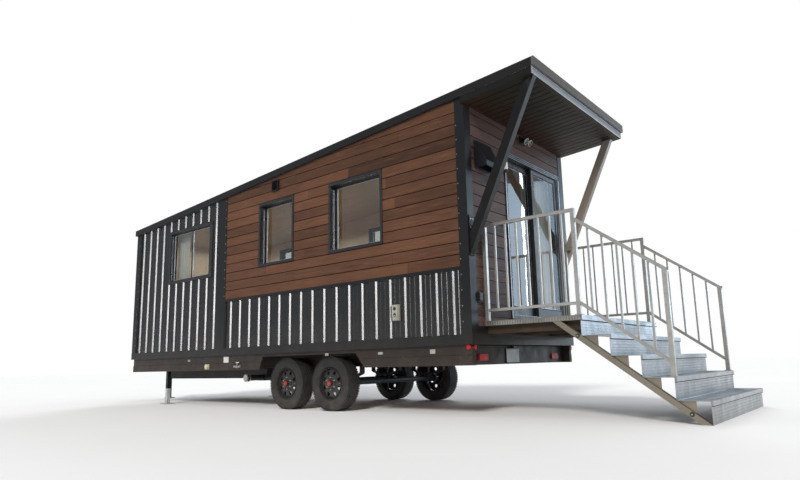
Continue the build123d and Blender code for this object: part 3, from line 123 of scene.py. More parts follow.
# On the near rail: from, to, bottom and top; tags are middle, height and half width
REFLECTOR, DATA_PLATE = (2.586, 2.658, 0.672, 0.720), (-1.349, -1.229, 0.655, 0.735)
RAIL_TAGS = ((1.846, 0.700, 0.036), (0.921, 0.711, 0.030), (-2.30, 0.700, 0.030))
INLET_X, PLUG_X, VALVE_X, VALVE_Z = -1.790, -1.735, -0.98, 0.590

# Camera: place, then yaw, pitch and roll in degrees
CAMERA_PLACE = (6.7091, -6.6185, 0.5805)
CAMERA_TURN = (38.711, 9.7736, -1.4412)
CAMERA_LENS, CAMERA_SENSOR = 27.153, 36.0
CAMERA_SHIFT = (-0.0167, 0.0234)


def roof_under(x):
    """Underside of the roof slab above a point of the walls."""
    return WALL_TOP - ROOF_FALL * (CORE_E - x)


def window_span(window):
    return E - window[0], E - window[0] + window[1]


def step_nose(k):
    return DECK_HIGH.x + k * STEP_RUN


def step_top(k):
    return DECK_HIGH.z * (1 - k / (STEP_COUNT + 1))


def spoke(angle):
    """A unit vector in the wheel's plane."""
    return Vector((math.cos(angle), 0, math.sin(angle)))


BAY_HOLES = [(*window_span(window), *window[2:4]) for window in (WINDOW_B, WINDOW_C)]


def place_new(name, data):
    made = bpy.data.objects.new(name, data)
    bpy.context.scene.collection.objects.link(made)
    return made


def add_node(tree, kind, inputs=(), output=0, **settings):
    """Adds a node and gives one of its outputs; inputs are values or other nodes' outputs."""
    made = tree.nodes.new(f"ShaderNode{kind}")
    for key, value in settings.items():
        setattr(made, key, value)
    for key, value in dict(inputs).items():
        if isinstance(value, bpy.types.NodeSocket):
            tree.links.new(value, made.inputs[key])
        else:
            made.inputs[key].default_value = value
    return made.outputs[output] if made.outputs else None


def add_range(tree, value, *limits):
    """Maps a value from one range to another, held inside it."""
    keys = ("From Min", "From Max", "To Min", "To Max")
    return add_node(tree, "MapRange", {"Value": value, **dict(zip(keys, limits))})


class Finish:
    """A node material built up in layers, from the frame's own coordinates."""

    def __init__(self, name, colour, roughness, metallic=0.0, specular=0.5, sheen=0.0):
        self.material = bpy.data.materials.new(name)
        self.material.use_nodes = True
        self.tree = self.material.node_tree
        self.shader = self.tree.nodes["Principled BSDF"].inputs
        self.shader["Metallic"].default_value = metallic
        self.shader["Specular IOR Level"].default_value = specular
        self.shader["Roughness"].default_value = roughness
        self.shader["Sheen Weight"].default_value = sheen
        self.roughness = roughness
        self.place = add_node(self.tree, "TexCoord", output="Object")
        self.colour = add_node(self.tree, "RGB")
        self.colour.default_value = (*colour, 1)
        self.normal = None

    def noise(self, scale, stretch=(1, 1, 1), detail=4.0, shift=0.0):
        """Fractal noise from 0 to 1; stretch above 1 makes it finer along that axis."""
        moved = {"Vector": self.place, "Scale": stretch, "Location": (shift, shift, shift)}
        vector = add_node(self.tree, "Mapping", moved)
        grain = {"Vector": vector, "Scale": scale, "Detail": detail, "Roughness": 0.6}
        return add_node(self.tree, "TexNoise", grain)

    def scale_colour(self, factor):
        inputs = {0: self.colour, "Scale": factor}
        self.colour = add_node(self.tree, "VectorMath", inputs, operation="SCALE")
        return self

    def over(self, colour, mask):
        """Covers the colour so far with another one where mask is 1."""
        inputs = {0: mask, 6: self.colour, 7: (*colour, 1)}
        self.colour = add_node(self.tree, "Mix", inputs, 2, data_type="RGBA")
        return self

    def mottle(self, scale, amount, stretch=(1, 1, 1), shift=0.0, detail=4.0):
        noise = self.noise(scale, stretch, detail, shift)
        return self.scale_colour(add_range(self.tree, noise, 0.3, 0.7, 1 - amount, 1 + amount))

    def tone(self, amount):
        """Each board or block has its own shade, kept in the mesh as tone."""
        tone = add_node(self.tree, "Attribute", output="Fac", attribute_name="tone")
        return self.scale_colour(add_range(self.tree, tone, 0.0, 1.0, 1 - amount, 1 + amount))

    def slope_mask(self, way, low, high, amount):
        """0 where a place's reach along way is at low, amount where it is at high."""
        reach = add_node(self.tree, "VectorMath", {0: self.place, 1: way}, "Value", operation="DOT_PRODUCT")
        return add_range(self.tree, reach, low, high, 0.0, amount)

    def face(self, colour, way, reach):
        """Another colour on the face that lies at this reach along way."""
        return self.over(colour, self.slope_mask(way, reach - 0.003, reach - 0.001, 1.0))

    def patches(self, colour, scale, stretch, low, high, amount, detail=3.0, shift=3.7):
        """Another colour, up to amount, where noise rises from low to high."""
        noise = self.noise(scale, stretch, detail, shift)
        return self.over(colour, add_range(self.tree, noise, low, high, 0.0, amount))

    def specks(self, colour, scale, threshold, amount):
        return self.patches(colour, scale, (1, 1, 1), threshold, threshold + 0.06, amount)

    def dust(self, colour, low, high, amount, scale=6.0):
        """Road dust, thicker toward the ground and broken up by noise."""
        broken = add_range(self.tree, self.noise(scale, detail=6.0), 0.35, 0.65, 0.25, 1.0)
        inputs = {0: self.slope_mask(Z, high, low, amount), 1: broken}
        return self.over(colour, add_node(self.tree, "Math", inputs, operation="MULTIPLY"))

    def gloss(self, scale, spread, stretch=(1, 1, 1)):
        low, high = max(0.03, self.roughness - spread), min(1.0, self.roughness + spread)
        rough = add_range(self.tree, self.noise(scale, stretch, shift=1.3), 0.3, 0.7, low, high)
        self.tree.links.new(rough, self.shader["Roughness"])
        return self

    def bump(self, scale, depth, stretch=(1, 1, 1), detail=4.0):
        inputs = {"Strength": 1.0, "Distance": depth, "Height": self.noise(scale, stretch, detail)}
        if self.normal is not None:
            inputs["Normal"] = self.normal
        self.normal = add_node(self.tree, "Bump", inputs)
        return self

    def done(self):
        self.tree.links.new(self.colour, self.shader["Base Color"])
        if self.normal is not None:
            self.tree.links.new(self.normal, self.shader["Normal"])
        return self.material


class Shapes:
    """Gathers many small solids into one mesh, each with a tone of its own."""

    def __init__(self):
        self.points, self.faces, self.tones = [], [], []

    def solid(self, points, faces, tone=0.5):
        base = len(self.points)
        self.points += [tuple(p) for p in points]
        self.faces += [tuple(base + i for i in face) for face in faces]
        self.tones += [tone] * len(points)

    def box(self, x0, x1, y0, y1, z0, z1):
        points = [(x, y, z) for x in (x0, x1) for y in (y0, y1) for z in (z0, z1)]
        faces = [(0, 1, 3, 2), (4, 6, 7, 5), (0, 4, 5, 1), (2, 3, 7, 6), (0, 2, 6, 4), (1, 5, 7, 3)]
        self.solid(points, faces)

    def ring(self, normal, a, b, u0, u1, z0, z1, width):
        """Four bars round an opening whose normal is the x or the y axis, from a to b along it."""
        a, b = sorted((a, b))
        low, high = z0 + width, z1 - width
        bars = [(u0, u1, z0, low), (u0, u1, high, z1)]
        bars += [(u0, u0 + width, low, high), (u1 - width, u1, low, high)]
        for p, q, r, s in bars:
            span = (p, q, a, b) if normal == "y" else (a, b, p, q)
            self.box(*span, r, s)

    def prism(self, outline, sweep, tone=0.5):
        """A flat outline of points, swept along a vector."""
        count = len(outline)
        far = [Vector(p) + Vector(sweep) for p in outline]
        faces = [tuple(range(count)), tuple(range(2 * count - 1, count - 1, -1))]
        for i in range(count):
            j = (i + 1) % count
            faces.append((i, j, count + j, count + i))
        self.solid([*outline, *far], faces, tone)

    def turned(self, profile, centre, axis, steps=32, loop=False):
        """A profile of (radius, distance along the axis) turned about it."""
        axis = Vector(axis).normalized()
        side = axis.orthogonal().normalized()
        other = axis.cross(side)
        points, rings = [], []
        for radius, along in profile:
            start = len(points)
            for i in range(steps if radius > 1e-7 else 1):
                a = 2 * math.pi * i / steps
                way = side * math.cos(a) + other * math.sin(a)
                points.append(Vector(centre) + axis * along + way * radius)
            rings.append(list(range(start, len(points))))
        faces = []
        pairs = list(zip(rings, rings[1:])) + ([(rings[-1], rings[0])] if loop else [])
        for a, b in pairs:
            for i in range(steps):
                j = (i + 1) % steps
                corners = dict.fromkeys((a[i % len(a)], a[j % len(a)], b[j % len(b)], b[i % len(b)]))
                if len(corners) > 2:
                    faces.append(tuple(corners))
        if not loop:
            faces += [tuple(ring) for ring in (rings[0], rings[-1]) if len(ring) > 2]
        self.solid(points, faces)

    def rod(self, start, end, radius, steps=12):
        way = Vector(end) - Vector(start)
        self.turned([(radius, 0), (radius, way.length)], start, way, steps)

    def build(self, name, finish, slot=None, body="house", replaces=(), bevel=0.0, smooth=35.0, segments=2,
              weld=False):
        mesh = bpy.data.meshes.new(name)
        mesh.from_pydata(self.points, [], self.faces)
        mesh.attributes.new("tone", "FLOAT", "POINT").data.foreach_set("value", self.tones)
        tidy = bmesh.new()
        tidy.from_mesh(mesh)
        if weld:
            bmesh.ops.remove_doubles(tidy, verts=tidy.verts, dist=0.00005)
        bmesh.ops.recalc_face_normals(tidy, faces=tidy.faces)
        tidy.to_mesh(mesh)
        tidy.free()
        mesh.materials.append(finish)
        mesh.shade_smooth()
        mesh.set_sharp_from_angle(angle=math.radians(smooth))
        piece = place_new(name, mesh)
        if bevel:
            round_edges(piece, bevel, segments)
        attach(piece, body)
        if replaces:
            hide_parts(*replaces)
        return piece


def round_edges(piece, width, segments=2):
    made = piece.modifiers.new("rounded", "BEVEL")
    made.width = width
    made.segments = segments
    made.limit_method = "ANGLE"
    made.angle_limit = math.radians(40)
    made.harden_normals = True


def dress(finish, bevel, *names):
    """Gives carried-over nodes their material, and softened edges where that is right."""
    for name in names:
        node = NODES[name]
        node.data.materials.clear()
        node.data.materials.append(finish)
        if bevel:
            node.modifiers.new("joined", "WELD").merge_threshold = 0.0001
            round_edges(node, bevel)


# Materials: colours are (red, green, blue); each layer's numbers are its scale and strength
def boards_finish(name, stretch, colour):
    """Composite boards: brown, with fine grain along the board and a worn sheen."""
    made = Finish(name, colour, 0.52, specular=0.35)
    made.tone(0.42).mottle(2.6, 0.26, stretch, detail=7.0).mottle(0.8, 0.2)
    made.patches((0.21, 0.100, 0.058), 3.2, stretch, 0.56, 0.72, 0.5, 8.0, 5.0)
    made.patches((0.022, 0.011, 0.008), 4.5, stretch, 0.56, 0.7, 0.6, 6.0, 9.0)
    return made.gloss(5.0, 0.1, stretch).bump(5.0, 0.0012, stretch, 6.0).done()


def painted_metal(name, colour, roughness, dusty, specular=0.7, front=False):
    """Factory-painted sheet: near black, slightly wavy, dusty low down; on the roof's front face a paler
    colour, a painted reflection of the sky.
    """
    made = Finish(name, colour, roughness, specular=specular).mottle(0.9, 0.18)
    made.mottle(9.0, 0.1, (1, 1, 0.2)).dust((0.10, 0.085, 0.065), 0.75, 1.2, dusty)
    # With front, the roof's front face gets a paler colour: a painted reflection of the sky.
    if front:
        made.face((0.10, 0.094, 0.087), X, ROOF_E)
    return made.gloss(3.0, 0.05).bump(2.2, 0.0016, detail=1.0).bump(60.0, 0.00003).done()


def aluminium(name, colour, roughness=0.34):
    """Mill-finish aluminium: fine draw lines, dull patches and a little dirt."""
    made = Finish(name, colour, roughness, metallic=0.8).mottle(2.2, 0.12).mottle(30.0, 0.08, (0.2, 1, 1))
    made.dust((0.36, 0.31, 0.24), 0.0, 1.0, 0.35, 5.0).specks((0.22, 0.2, 0.18), 36.0, 0.64, 0.35)
    return made.gloss(8.0, 0.12).bump(70.0, 0.00015, (0.15, 1, 1)).done()


def black_paint(name, colour, roughness, dusty=0.3):
    made = Finish(name, colour, roughness, specular=0.55).mottle(4.0, 0.2)
    return made.dust((0.2, 0.16, 0.12), 0.0, 0.9, dusty, 9.0).gloss(10.0, 0.08).bump(80.0, 0.0002).done()


def simple(name, colour, roughness, metallic=0.0, spread=0.12, grain=60.0, depth=0.0002):
    """A small fitting's finish: mottled, with its own gloss and fine bump."""
    made = Finish(name, colour, roughness, metallic).mottle(7.0, spread).mottle(40.0, spread / 2)
    return made.gloss(12.0, 0.06).bump(grain, depth).done()


def glass(name, tint, strength):
    """A pane: a mirror coat that grows at a slant, on its front face, over a tinted clear sheet."""
    made = bpy.data.materials.new(name)
    made.use_nodes = True
    tree = made.node_tree
    tree.nodes.clear()
    noise = add_node(tree, "TexNoise", {"Vector": add_node(tree, "TexCoord", output="Object"), "Scale": 2.5})
    tints = {0: noise, 6: (*tint, 1), 7: (*[c * 0.86 for c in tint], 1)}
    clear = add_node(tree, "BsdfTransparent", {"Color": add_node(tree, "Mix", tints, 2, data_type="RGBA")})
    wave = add_node(tree, "Bump", {"Height": noise, "Strength": 0.35, "Distance": 0.002})
    mirror = add_node(tree, "BsdfGlossy", {"Roughness": 0.015, "Color": (0.90, 0.95, 1.0, 1), "Normal": wave})
    back = add_node(tree, "NewGeometry", output="Backfacing")
    front = add_node(tree, "Math", {0: 1.0, 1: back}, operation="SUBTRACT")
    edge = add_node(tree, "Fresnel", {"IOR": strength})
    share = add_node(tree, "Math", {0: edge, 1: front}, operation="MULTIPLY")
    mix = add_node(tree, "MixShader", {0: share, 1: clear, 2: mirror})
    add_node(tree, "OutputMaterial", {"Surface": mix})
    return made


def soffit_panels():
    """Grooved soffit: dark olive brown, warmer toward the wall, black box sides, and a pale blue-grey front
    that is a painted reflection of the sky.
    """
    made = Finish("soffit_panels", (0.017, 0.0145, 0.009), 0.55, specular=0.2)
    made.mottle(2.4, 0.25, (1.0, 22.0, 22.0), detail=7.0).mottle(0.9, 0.15)
    made.over((0.042, 0.015, 0.007), made.slope_mask(X, E + 0.5, E, 0.7))
    made.face((0.010, 0.010, 0.010), -Y, SOFFIT_HIGH.y).face((0.010, 0.010, 0.010), Y, SOFFIT_HIGH.y)
    # Pale blue-grey on the front face: painted reflection of the sky.
    made.face((0.28, 0.31, 0.35), X, SOFFIT_HIGH.x)
    return made.gloss(4.0, 0.08, (1, 12, 12)).bump(5.0, 0.0006, (1.0, 24.0, 24.0)).done()


def brace_paint():
    """Square tubes: the near one mottled black, the far one pale grey-brown, a painted sunlit colour."""
    made = Finish("brace_paint", (0.006, 0.0055, 0.0055), 0.42, specular=0.35)
    made.mottle(3.0, 0.25, (3.0, 20.0, 1.2), detail=6.0)
    made.patches((0.045, 0.037, 0.031), 2.4, (3, 9, 1.2), 0.56, 0.74, 0.5, 7.0, 0.0)
    # The far brace (y above 0) turns pale grey-brown: painted sunlight.
    made.over((0.30, 0.255, 0.215), made.slope_mask(Y, 0.0, 0.1, 0.85))
    return made.gloss(5.0, 0.08).bump(6.0, 0.0006, (3.0, 20.0, 1.2)).done()


def roof_paint():
    """Roof sheet, and the pale ceiling on the same slab's underside inside the walls."""
    made = Finish("roof_paint", (0.034, 0.034, 0.036), 0.4)
    made.mottle(0.7, 0.2).specks((0.16, 0.14, 0.11), 14.0, 0.6, 0.4).mottle(6.0, 0.08, (0.3, 4, 1))
    level = WALL_TOP - ROOF_FALL * CORE_E - 0.004
    made.over((0.52, 0.48, 0.41), made.slope_mask((-ROOF_FALL, 0, 1), level + 0.002, level - 0.002, 1.0))
    return made.mottle(2.4, 0.12, (0.7, 9, 1)).gloss(4.0, 0.1).bump(3.0, 0.0015, detail=1.0).done()


def interior_panels():
    """Painted panels inside, wood-coloured low down."""
    made = Finish("interior_panels", (0.62, 0.53, 0.41), 0.6, specular=0.35)
    made.mottle(2.0, 0.08, (1, 1, 9)).mottle(0.6, 0.06)
    made.over((0.52, 0.33, 0.17), made.slope_mask(Z, PANEL_LINE + 0.03, PANEL_LINE - 0.03, 0.65))
    return made.gloss(3.0, 0.08).bump(18.0, 0.0003, (1, 1, 8)).done()


def leg_steel():
    """Stabiliser legs: a black outer tube over a galvanised inner one."""
    made = Finish("leg_steel", (0.60, 0.61, 0.61), 0.36, metallic=0.6).mottle(9.0, 0.14).mottle(30.0, 0.08)
    made.over((0.024, 0.023, 0.023), made.slope_mask(Z, LEG_TUBE_END - 0.002, LEG_TUBE_END + 0.002, 1.0))
    return made.specks((0.16, 0.09, 0.05), 26.0, 0.64, 0.5).gloss(8.0, 0.1).bump(60.0, 0.0002).done()


def curtain_cloth():
    """Light woven cloth with a fine thread and a faint stripe across the folds."""
    made = Finish("curtain_cloth", (0.74, 0.715, 0.68), 0.85, specular=0.2, sheen=0.25)
    made.mottle(1.3, 0.06, (1, 1, 0.3)).mottle(420.0, 0.10, (1, 1, 0.12), detail=2.0)
    made.mottle(420.0, 0.08, (0.12, 0.12, 1), 4.0, 2.0).gloss(30.0, 0.06)
    return made.bump(500.0, 0.00025, (1, 1, 0.2), 2.0).done()


METAL = painted_metal("ribbed_metal", (0.0115, 0.011, 0.0105), 0.24, 0.12)
TRIM = painted_metal("trim_metal", (0.008, 0.008, 0.008), 0.34, 0.12, 0.45)
FASCIA = painted_metal("fascia_metal", (0.009, 0.0085, 0.008), 0.36, 0.0, 0.45, True)
BOARDS_X = boards_finish("boards_long_side", (1.0, 26.0, 26.0), (0.088, 0.037, 0.018))
# The door end's boards are the same boards with a cooler, purpler colour: painted shade on the door end.
BOARDS_END_SHADED = boards_finish("boards_door_end", (26.0, 1.0, 26.0), (0.074, 0.041, 0.033))
MEMBRANE = simple("membrane", (0.008, 0.007, 0.007), 0.85)
CHASSIS = (
    Finish("chassis_paint", (0.021, 0.016, 0.0135), 0.5, specular=0.4)
    .mottle(1.6, 0.2).mottle(14.0, 0.12, (1, 1, 3)).dust((0.15, 0.11, 0.078), 0.3, 0.9, 0.3, 3.5)
    .specks((0.10, 0.045, 0.025), 22.0, 0.63, 0.5).gloss(6.0, 0.12).bump(40.0, 0.0005).done()
)
ALUMINIUM = aluminium("stair_aluminium", (0.33, 0.29, 0.225))
RAILS = aluminium("rail_aluminium", (0.57, 0.55, 0.51), 0.38)
PLATE = (
    Finish("tread_plate", (0.42, 0.44, 0.46), 0.36, metallic=0.85)
    .mottle(1.4, 0.16).mottle(12.0, 0.08).mottle(5.0, 0.2, (1, 1, 0.12), 2.0)
    .dust((0.36, 0.32, 0.26), 0.0, 1.1, 0.28, 4.0).specks((0.24, 0.22, 0.2), 30.0, 0.64, 0.3)
    .gloss(7.0, 0.1).bump(45.0, 0.0002).done()
)
RUBBER = (
    Finish("tyre_rubber", (0.018, 0.0175, 0.0175), 0.66, specular=0.45).mottle(5.0, 0.25)
    .dust((0.14, 0.12, 0.10), 0.0, 0.72, 0.4, 8.0).gloss(9.0, 0.1).bump(120.0, 0.0003).done()
)
WHEEL_PAINT = black_paint("wheel_paint", (0.016, 0.016, 0.017), 0.24, 0.18)
FRAME_BLACK = (
    Finish("frame_black", (0.018, 0.018, 0.020), 0.30, specular=0.65)
    .mottle(3.0, 0.15).gloss(6.0, 0.07).bump(90.0, 0.0001).done()
)
FITTING_BLACK = black_paint("fitting_black", (0.009, 0.010, 0.012), 0.34)
AXLE_PAINT = black_paint("axle_paint", (0.018, 0.050, 0.068), 0.40)
WINDOW_GLASS = glass("window_pane", (0.84, 0.86, 0.83), 2.15)
DOOR_PANE = glass("door_pane", (0.62, 0.66, 0.68), 1.9)
FIXED_PANE = glass("fixed_pane", (0.90, 0.91, 0.90), 1.42)
JOISTS = (
    Finish("joist_paint", (0.036, 0.022, 0.014), 0.62, specular=0.3)
    .mottle(2.5, 0.3, (1.0, 18.0, 18.0), detail=7.0).dust((0.12, 0.10, 0.075), 0.7, 1.1, 0.3)
    .gloss(6.0, 0.1).bump(6.0, 0.001, (1.0, 20.0, 20.0)).done()
)
FLOOR = (
    Finish("floor_boards", (0.26, 0.15, 0.080), 0.45, specular=0.45)
    .mottle(2.6, 0.25, (0.8, 14.0, 1.0), detail=7.0).gloss(4.0, 0.08).bump(5.0, 0.0006, (1, 18, 1)).done()
)
PANELS = interior_panels()
STEEL = simple("jack_steel", (0.028, 0.028, 0.029), 0.38, 0.2)
ZINC = simple("zinc", (0.56, 0.56, 0.55), 0.3, 0.9)
SPRING = simple("spring_steel", (0.045, 0.038, 0.033), 0.6, 0.3, 0.3)
RED_LENS = simple("red_lens", (0.45, 0.012, 0.010), 0.18, spread=0.06)
RED_CAP = simple("red_cap", (0.40, 0.035, 0.022), 0.35)
PLATE_WHITE = simple("plate_white", (0.52, 0.55, 0.58), 0.4)
GREY_PLASTIC = simple("grey_plastic", (0.34, 0.33, 0.29), 0.5)
WHITE_PLASTIC = simple("white_plastic", (0.62, 0.61, 0.58), 0.4)
YELLOW_PLASTIC = simple("yellow_plastic", (0.70, 0.48, 0.05), 0.4)
PIPE_BLACK = simple("pipe_black", (0.020, 0.020, 0.020), 0.45)
TANK = simple("tank_black", (0.014, 0.014, 0.015), 0.55, spread=0.2, grain=30.0, depth=0.0004)
LAMP_GLASS = simple("lamp_glass", (0.78, 0.79, 0.79), 0.16, spread=0.05)
HEAD_SKY_GREY = simple("head_metal_sky_sheen", (0.34, 0.38, 0.43), 0.36, 0.6, spread=0.05, depth=0.00002)
LENS_DARK = simple("lens_dark", (0.045, 0.05, 0.055), 0.12)
LIGHT_LINE = simple("light_aluminium", (0.62, 0.66, 0.71), 0.33, 0.7)
ROD = simple("curtain_rod", (0.58, 0.57, 0.55), 0.4)
CLOTH = curtain_cloth()

dress(TRIM, 0.002, "wall_trims", "base_band")
dress(FASCIA, 0.002, "roof_fascia")
dress(roof_paint(), 0, "roof_slab")
dress(soffit_panels(), 0, "canopy_soffit")
dress(brace_paint(), 0.003, "canopy_braces")
dress(PANELS, 0, "near_wall", "far_wall", "hitch_wall")
dress(PANELS, 0, "door_wall_near_side", "door_wall_far_side", "door_header_wall")
dress(FLOOR, 0, "floor_slab")
dress(FRAME_BLACK, 0.0025, "window_frames", "patio_door_frame")
dress(FRAME_BLACK, 0.0025, "patio_door_fixed_panel", "patio_door_sliding_panel")
dress(WINDOW_GLASS, 0, "window_glass")
dress(DOOR_PANE, 0, "patio_door_sliding_glass")
dress(FIXED_PANE, 0, "patio_door_fixed_glass")
dress(FITTING_BLACK, 0.003, "vent_hood")
dress(CHASSIS, 0.003, "side_rails", "main_beams", "cross_members", "rear_crossmember", "drawbar")
dress(CHASSIS, 0, "coupler")
dress(STEEL, 0, "tongue_jack")
dress(leg_steel(), 0.003, "stabiliser_legs")
dress(AXLE_PAINT, 0, "axles")
dress(SPRING, 0, "leaf_springs")
dress(RED_LENS, 0, "marker_lamps")
dress(PLATE_WHITE, 0.001, "number_plate")
dress(PIPE_BLACK, 0, "waste_pipe")
dress(TANK, 0.004, "holding_tank")
dress(ROD, 0.003, "curtain_rails")
dress(PLATE, 0.0015, "landing_deck", "stair_treads")
dress(JOISTS, 0.003, "landing_joists")
dress(ALUMINIUM, 0.003, "stair_stringers")
dress(RAILS, 0.0025, "landing_railings", "stair_railings")


# Ribbed metal sheets, with the small stiffening ribs between the main ones
def rib_centres(a, b):
    count = int((b - a - RIB_BASE) // RIB_PITCH) + 1
    first = (a + b - (count - 1) * RIB_PITCH) / 2
    return [first + i * RIB_PITCH for i in range(count)]


def sheet_profile(a, b, depth):
    """Points (along, out) of the sheet's face, from a to b."""
    centres = rib_centres(a, b)
    ribs = [(c, RIB_BASE, RIB_TOP, depth - SHEET) for c in centres]
    for c in centres:
        for offset in (-MINOR_RIB_OFFSET, MINOR_RIB_OFFSET):
            place = c + RIB_PITCH / 2 + offset
            if place + MINOR_RIB[0] < b:
                ribs.append((place, *MINOR_RIB))
            if c == centres[0] and place - RIB_PITCH - MINOR_RIB[0] > a:
                ribs.append((place - RIB_PITCH, *MINOR_RIB))
    points = [(a, SHEET)]
    for c, base, top, rise in sorted(ribs):
        points += [(c - base / 2, SHEET), (c - top / 2, SHEET + rise)]
        points += [(c + top / 2, SHEET + rise), (c + base / 2, SHEET)]
    return points + [(b, SHEET)]


def height_at(profile, place):
    for (a, low), (b, high) in zip(profile, profile[1:]):
        if a <= place <= b:
            return low + (high - low) * (place - a) / (b - a)
    return SHEET


def ribbed_sheet(shapes, a, b, depth, high, to_world, hole=None):
    """A sheet from a to b, from the base band up to high(along); hole is (from, to, sill, head)."""
    profile = sheet_profile(a, b, depth)
    levels = [lambda p: BAND_TOP, high]
    if hole:
        profile = sorted(profile + [(p, height_at(profile, p)) for p in hole[:2]])
        levels = [lambda p: BAND_TOP, lambda p: hole[2], lambda p: hole[3], high]
    rows = len(levels)
    faces = []
    for i in range(len(profile) - 1):
        middle = (profile[i][0] + profile[i + 1][0]) / 2
        for k in range(rows - 1):
            if not (hole and k == 1 and hole[0] < middle < hole[1]):
                p, q = i * rows + k, (i + 1) * rows + k
                faces.append((p, q, q + 1, p + 1))
    shapes.solid([to_world(p, out, level(p)) for p, out in profile for level in levels], faces)


def build_sheet(shapes, where, way):
    """Builds a ribbed sheet whose face looks along way, flat-shaded and as thick as real sheet."""
    piece = shapes.build(f"ribbed_sheet_{where}", METAL, "ribbed_metal", replaces=[f"metal_cladding_{where}"])
    if sum((face.normal * face.area for face in piece.data.polygons), Vector()).dot(way) < 0:
        piece.data.flip_normals()
    made = piece.modifiers.new("sheet", "SOLIDIFY")
    made.thickness = METAL_GAUGE
    made.offset = -1.0
    piece.data.shade_flat()


def metal_sides():
    depth, cap, inner = SIDE - CORE_SIDE, BOARD_BOTTOM - CAP_HEIGHT, SIDE - CORNER
    hole = (*window_span(WINDOW_A), *WINDOW_A[2:4])
    for sign, where in SIDES:
        shapes = Shapes()

        def to_world(p, out, z, sign=sign):
            return (p, sign * (CORE_SIDE + out), z)

        ribbed_sheet(shapes, H + CORNER, H + METAL_BAY, depth, roof_under, to_world, hole)
        ribbed_sheet(shapes, BOARDS_H, BOARDS_E, depth, lambda p: cap, to_world)
        build_sheet(shapes, where, Y * sign)
    shapes = Shapes()
    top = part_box("metal_cladding_hitch_end")[1].z
    ribbed_sheet(shapes, -inner, inner, CORE_H - H, lambda p: top, lambda p, out, z: (CORE_H - out, p, z))
    build_sheet(shapes, "hitch_end", -X)


# Composite boards
def board_outlines(a, b, low, high, holes, roof):
    """Outlines (along, z) of one row's boards after the openings and the roof are cut away."""
    holes = [hole for hole in holes if hole[2] < high and hole[3] > low]
    marks = {a, b} | {p for hole in holes for p in hole[:2] if a < p < b}
    if roof(a) != roof(b):
        crossings = [a + (level - roof(a)) / (roof(b) - roof(a)) * (b - a) for level in (low, high)]
        marks |= {p for p in crossings if a < p < b}
    marks = sorted(marks)
    spans, run = [], []
    for p, q in zip(marks, marks[1:]):
        floor, ceiling = low, high
        for h0, h1, sill, head in holes:
            if h0 < (p + q) / 2 < h1:
                if sill > low:
                    ceiling = min(ceiling, sill)
                else:
                    floor = max(floor, head)
        left, right = min(ceiling, roof(p)), min(ceiling, roof(q))
        if max(left, right) - floor > 0.004 and q - p > 0.002:
            run.append((p, q, floor, max(left, floor), max(right, floor)))
        elif run:
            spans.append(run)
            run = []
    outlines = []
    for run in spans + ([run] if run else []):
        lower = [point for p, q, floor, left, right in run for point in ((p, floor), (q, floor))]
        upper = [point for p, q, floor, left, right in run for point in ((p, left), (q, right))]
        ring = []
        for point in lower + upper[::-1]:
            if not ring or math.dist(point, ring[-1]) > 1e-4:
                ring.append(point)
        if math.dist(ring[0], ring[-1]) < 1e-4:
            ring.pop()
        outlines.append(ring)
    return outlines


def board_wall(where, finish, rng, a, b, first_line, bottom, top, holes, roof, to_world, sweep):
    """Rows of boards with a dark gap between rows and at the few butt joints."""
    shapes = Shapes()
    row = math.floor((bottom - first_line) / BOARD_PITCH)
    while first_line + row * BOARD_PITCH < top:
        low = max(bottom, first_line + row * BOARD_PITCH)
        high = min(top, first_line + (row + 1) * BOARD_PITCH - BOARD_GAP)
        row += 1
        if high - low < 0.01:
            continue
        start = a
        reach = rng.uniform(FIRST_BOARD, BOARD_LENGTHS[1])
        while start < b - 0.01:
            end = min(b, start + reach)
            if b - end < SHORTEST_BOARD:
                end = b
            gap = BUTT_GAP if end < b else 0.0
            tone = min(1.0, max(0.0, rng.gauss(0.5, 0.28)))
            for ring in board_outlines(start, end - gap, low, high, holes, roof):
                shapes.prism([to_world(p, z) for p, z in ring], sweep, tone)
            start = end
            reach = rng.uniform(*BOARD_LENGTHS)
    replaces = [f"wood_siding_{where}"]
    shapes.build(f"boards_{where}", finish, "boards", replaces=replaces, bevel=0.0016, segments=1)


def boards():
    rng = random.Random(7)
    for sign, where in SIDES:
        back = sign * (CORE_SIDE + BOARD_BACK)
        span = (BOARDS_H, BOARDS_E, BOARD_BOTTOM, BOARD_BOTTOM, SIDING_HIGH.z)
        sweep = (0, sign * SIDE - back, 0)
        board_wall(where, BOARDS_X, rng, *span, BAY_HOLES, roof_under, lambda p, z: (p, back, z), sweep)
    back = CORE_E + BOARD_BACK
    span = (END_LOW.y, END_HIGH.y, END_BOARD_LINE, END_LOW.z, END_HIGH.z)
    hole = (DOOR_LOW.y, DOOR_HIGH.y, DOOR_LOW.z, DOOR_HIGH.z)
    sweep = (E - back, 0, 0)
    board_wall("door_end", BOARDS_END_SHADED, rng, *span, [hole], lambda p: 10.0, lambda p, z: (back, p, z), sweep)


def membrane():
    """Dark sheet behind the gaps between boards."""
    shapes = Shapes()
    for sign, _ in SIDES:
        for ring in board_outlines(BOARDS_H, BOARDS_E, BOARD_BOTTOM, SIDING_HIGH.z, BAY_HOLES, roof_under):
            outline = [(p, sign * (CORE_SIDE + 0.0005), z) for p, z in ring]
            shapes.prism(outline, (0, sign * 0.0015, 0))
    shapes.build("membrane", MEMBRANE)


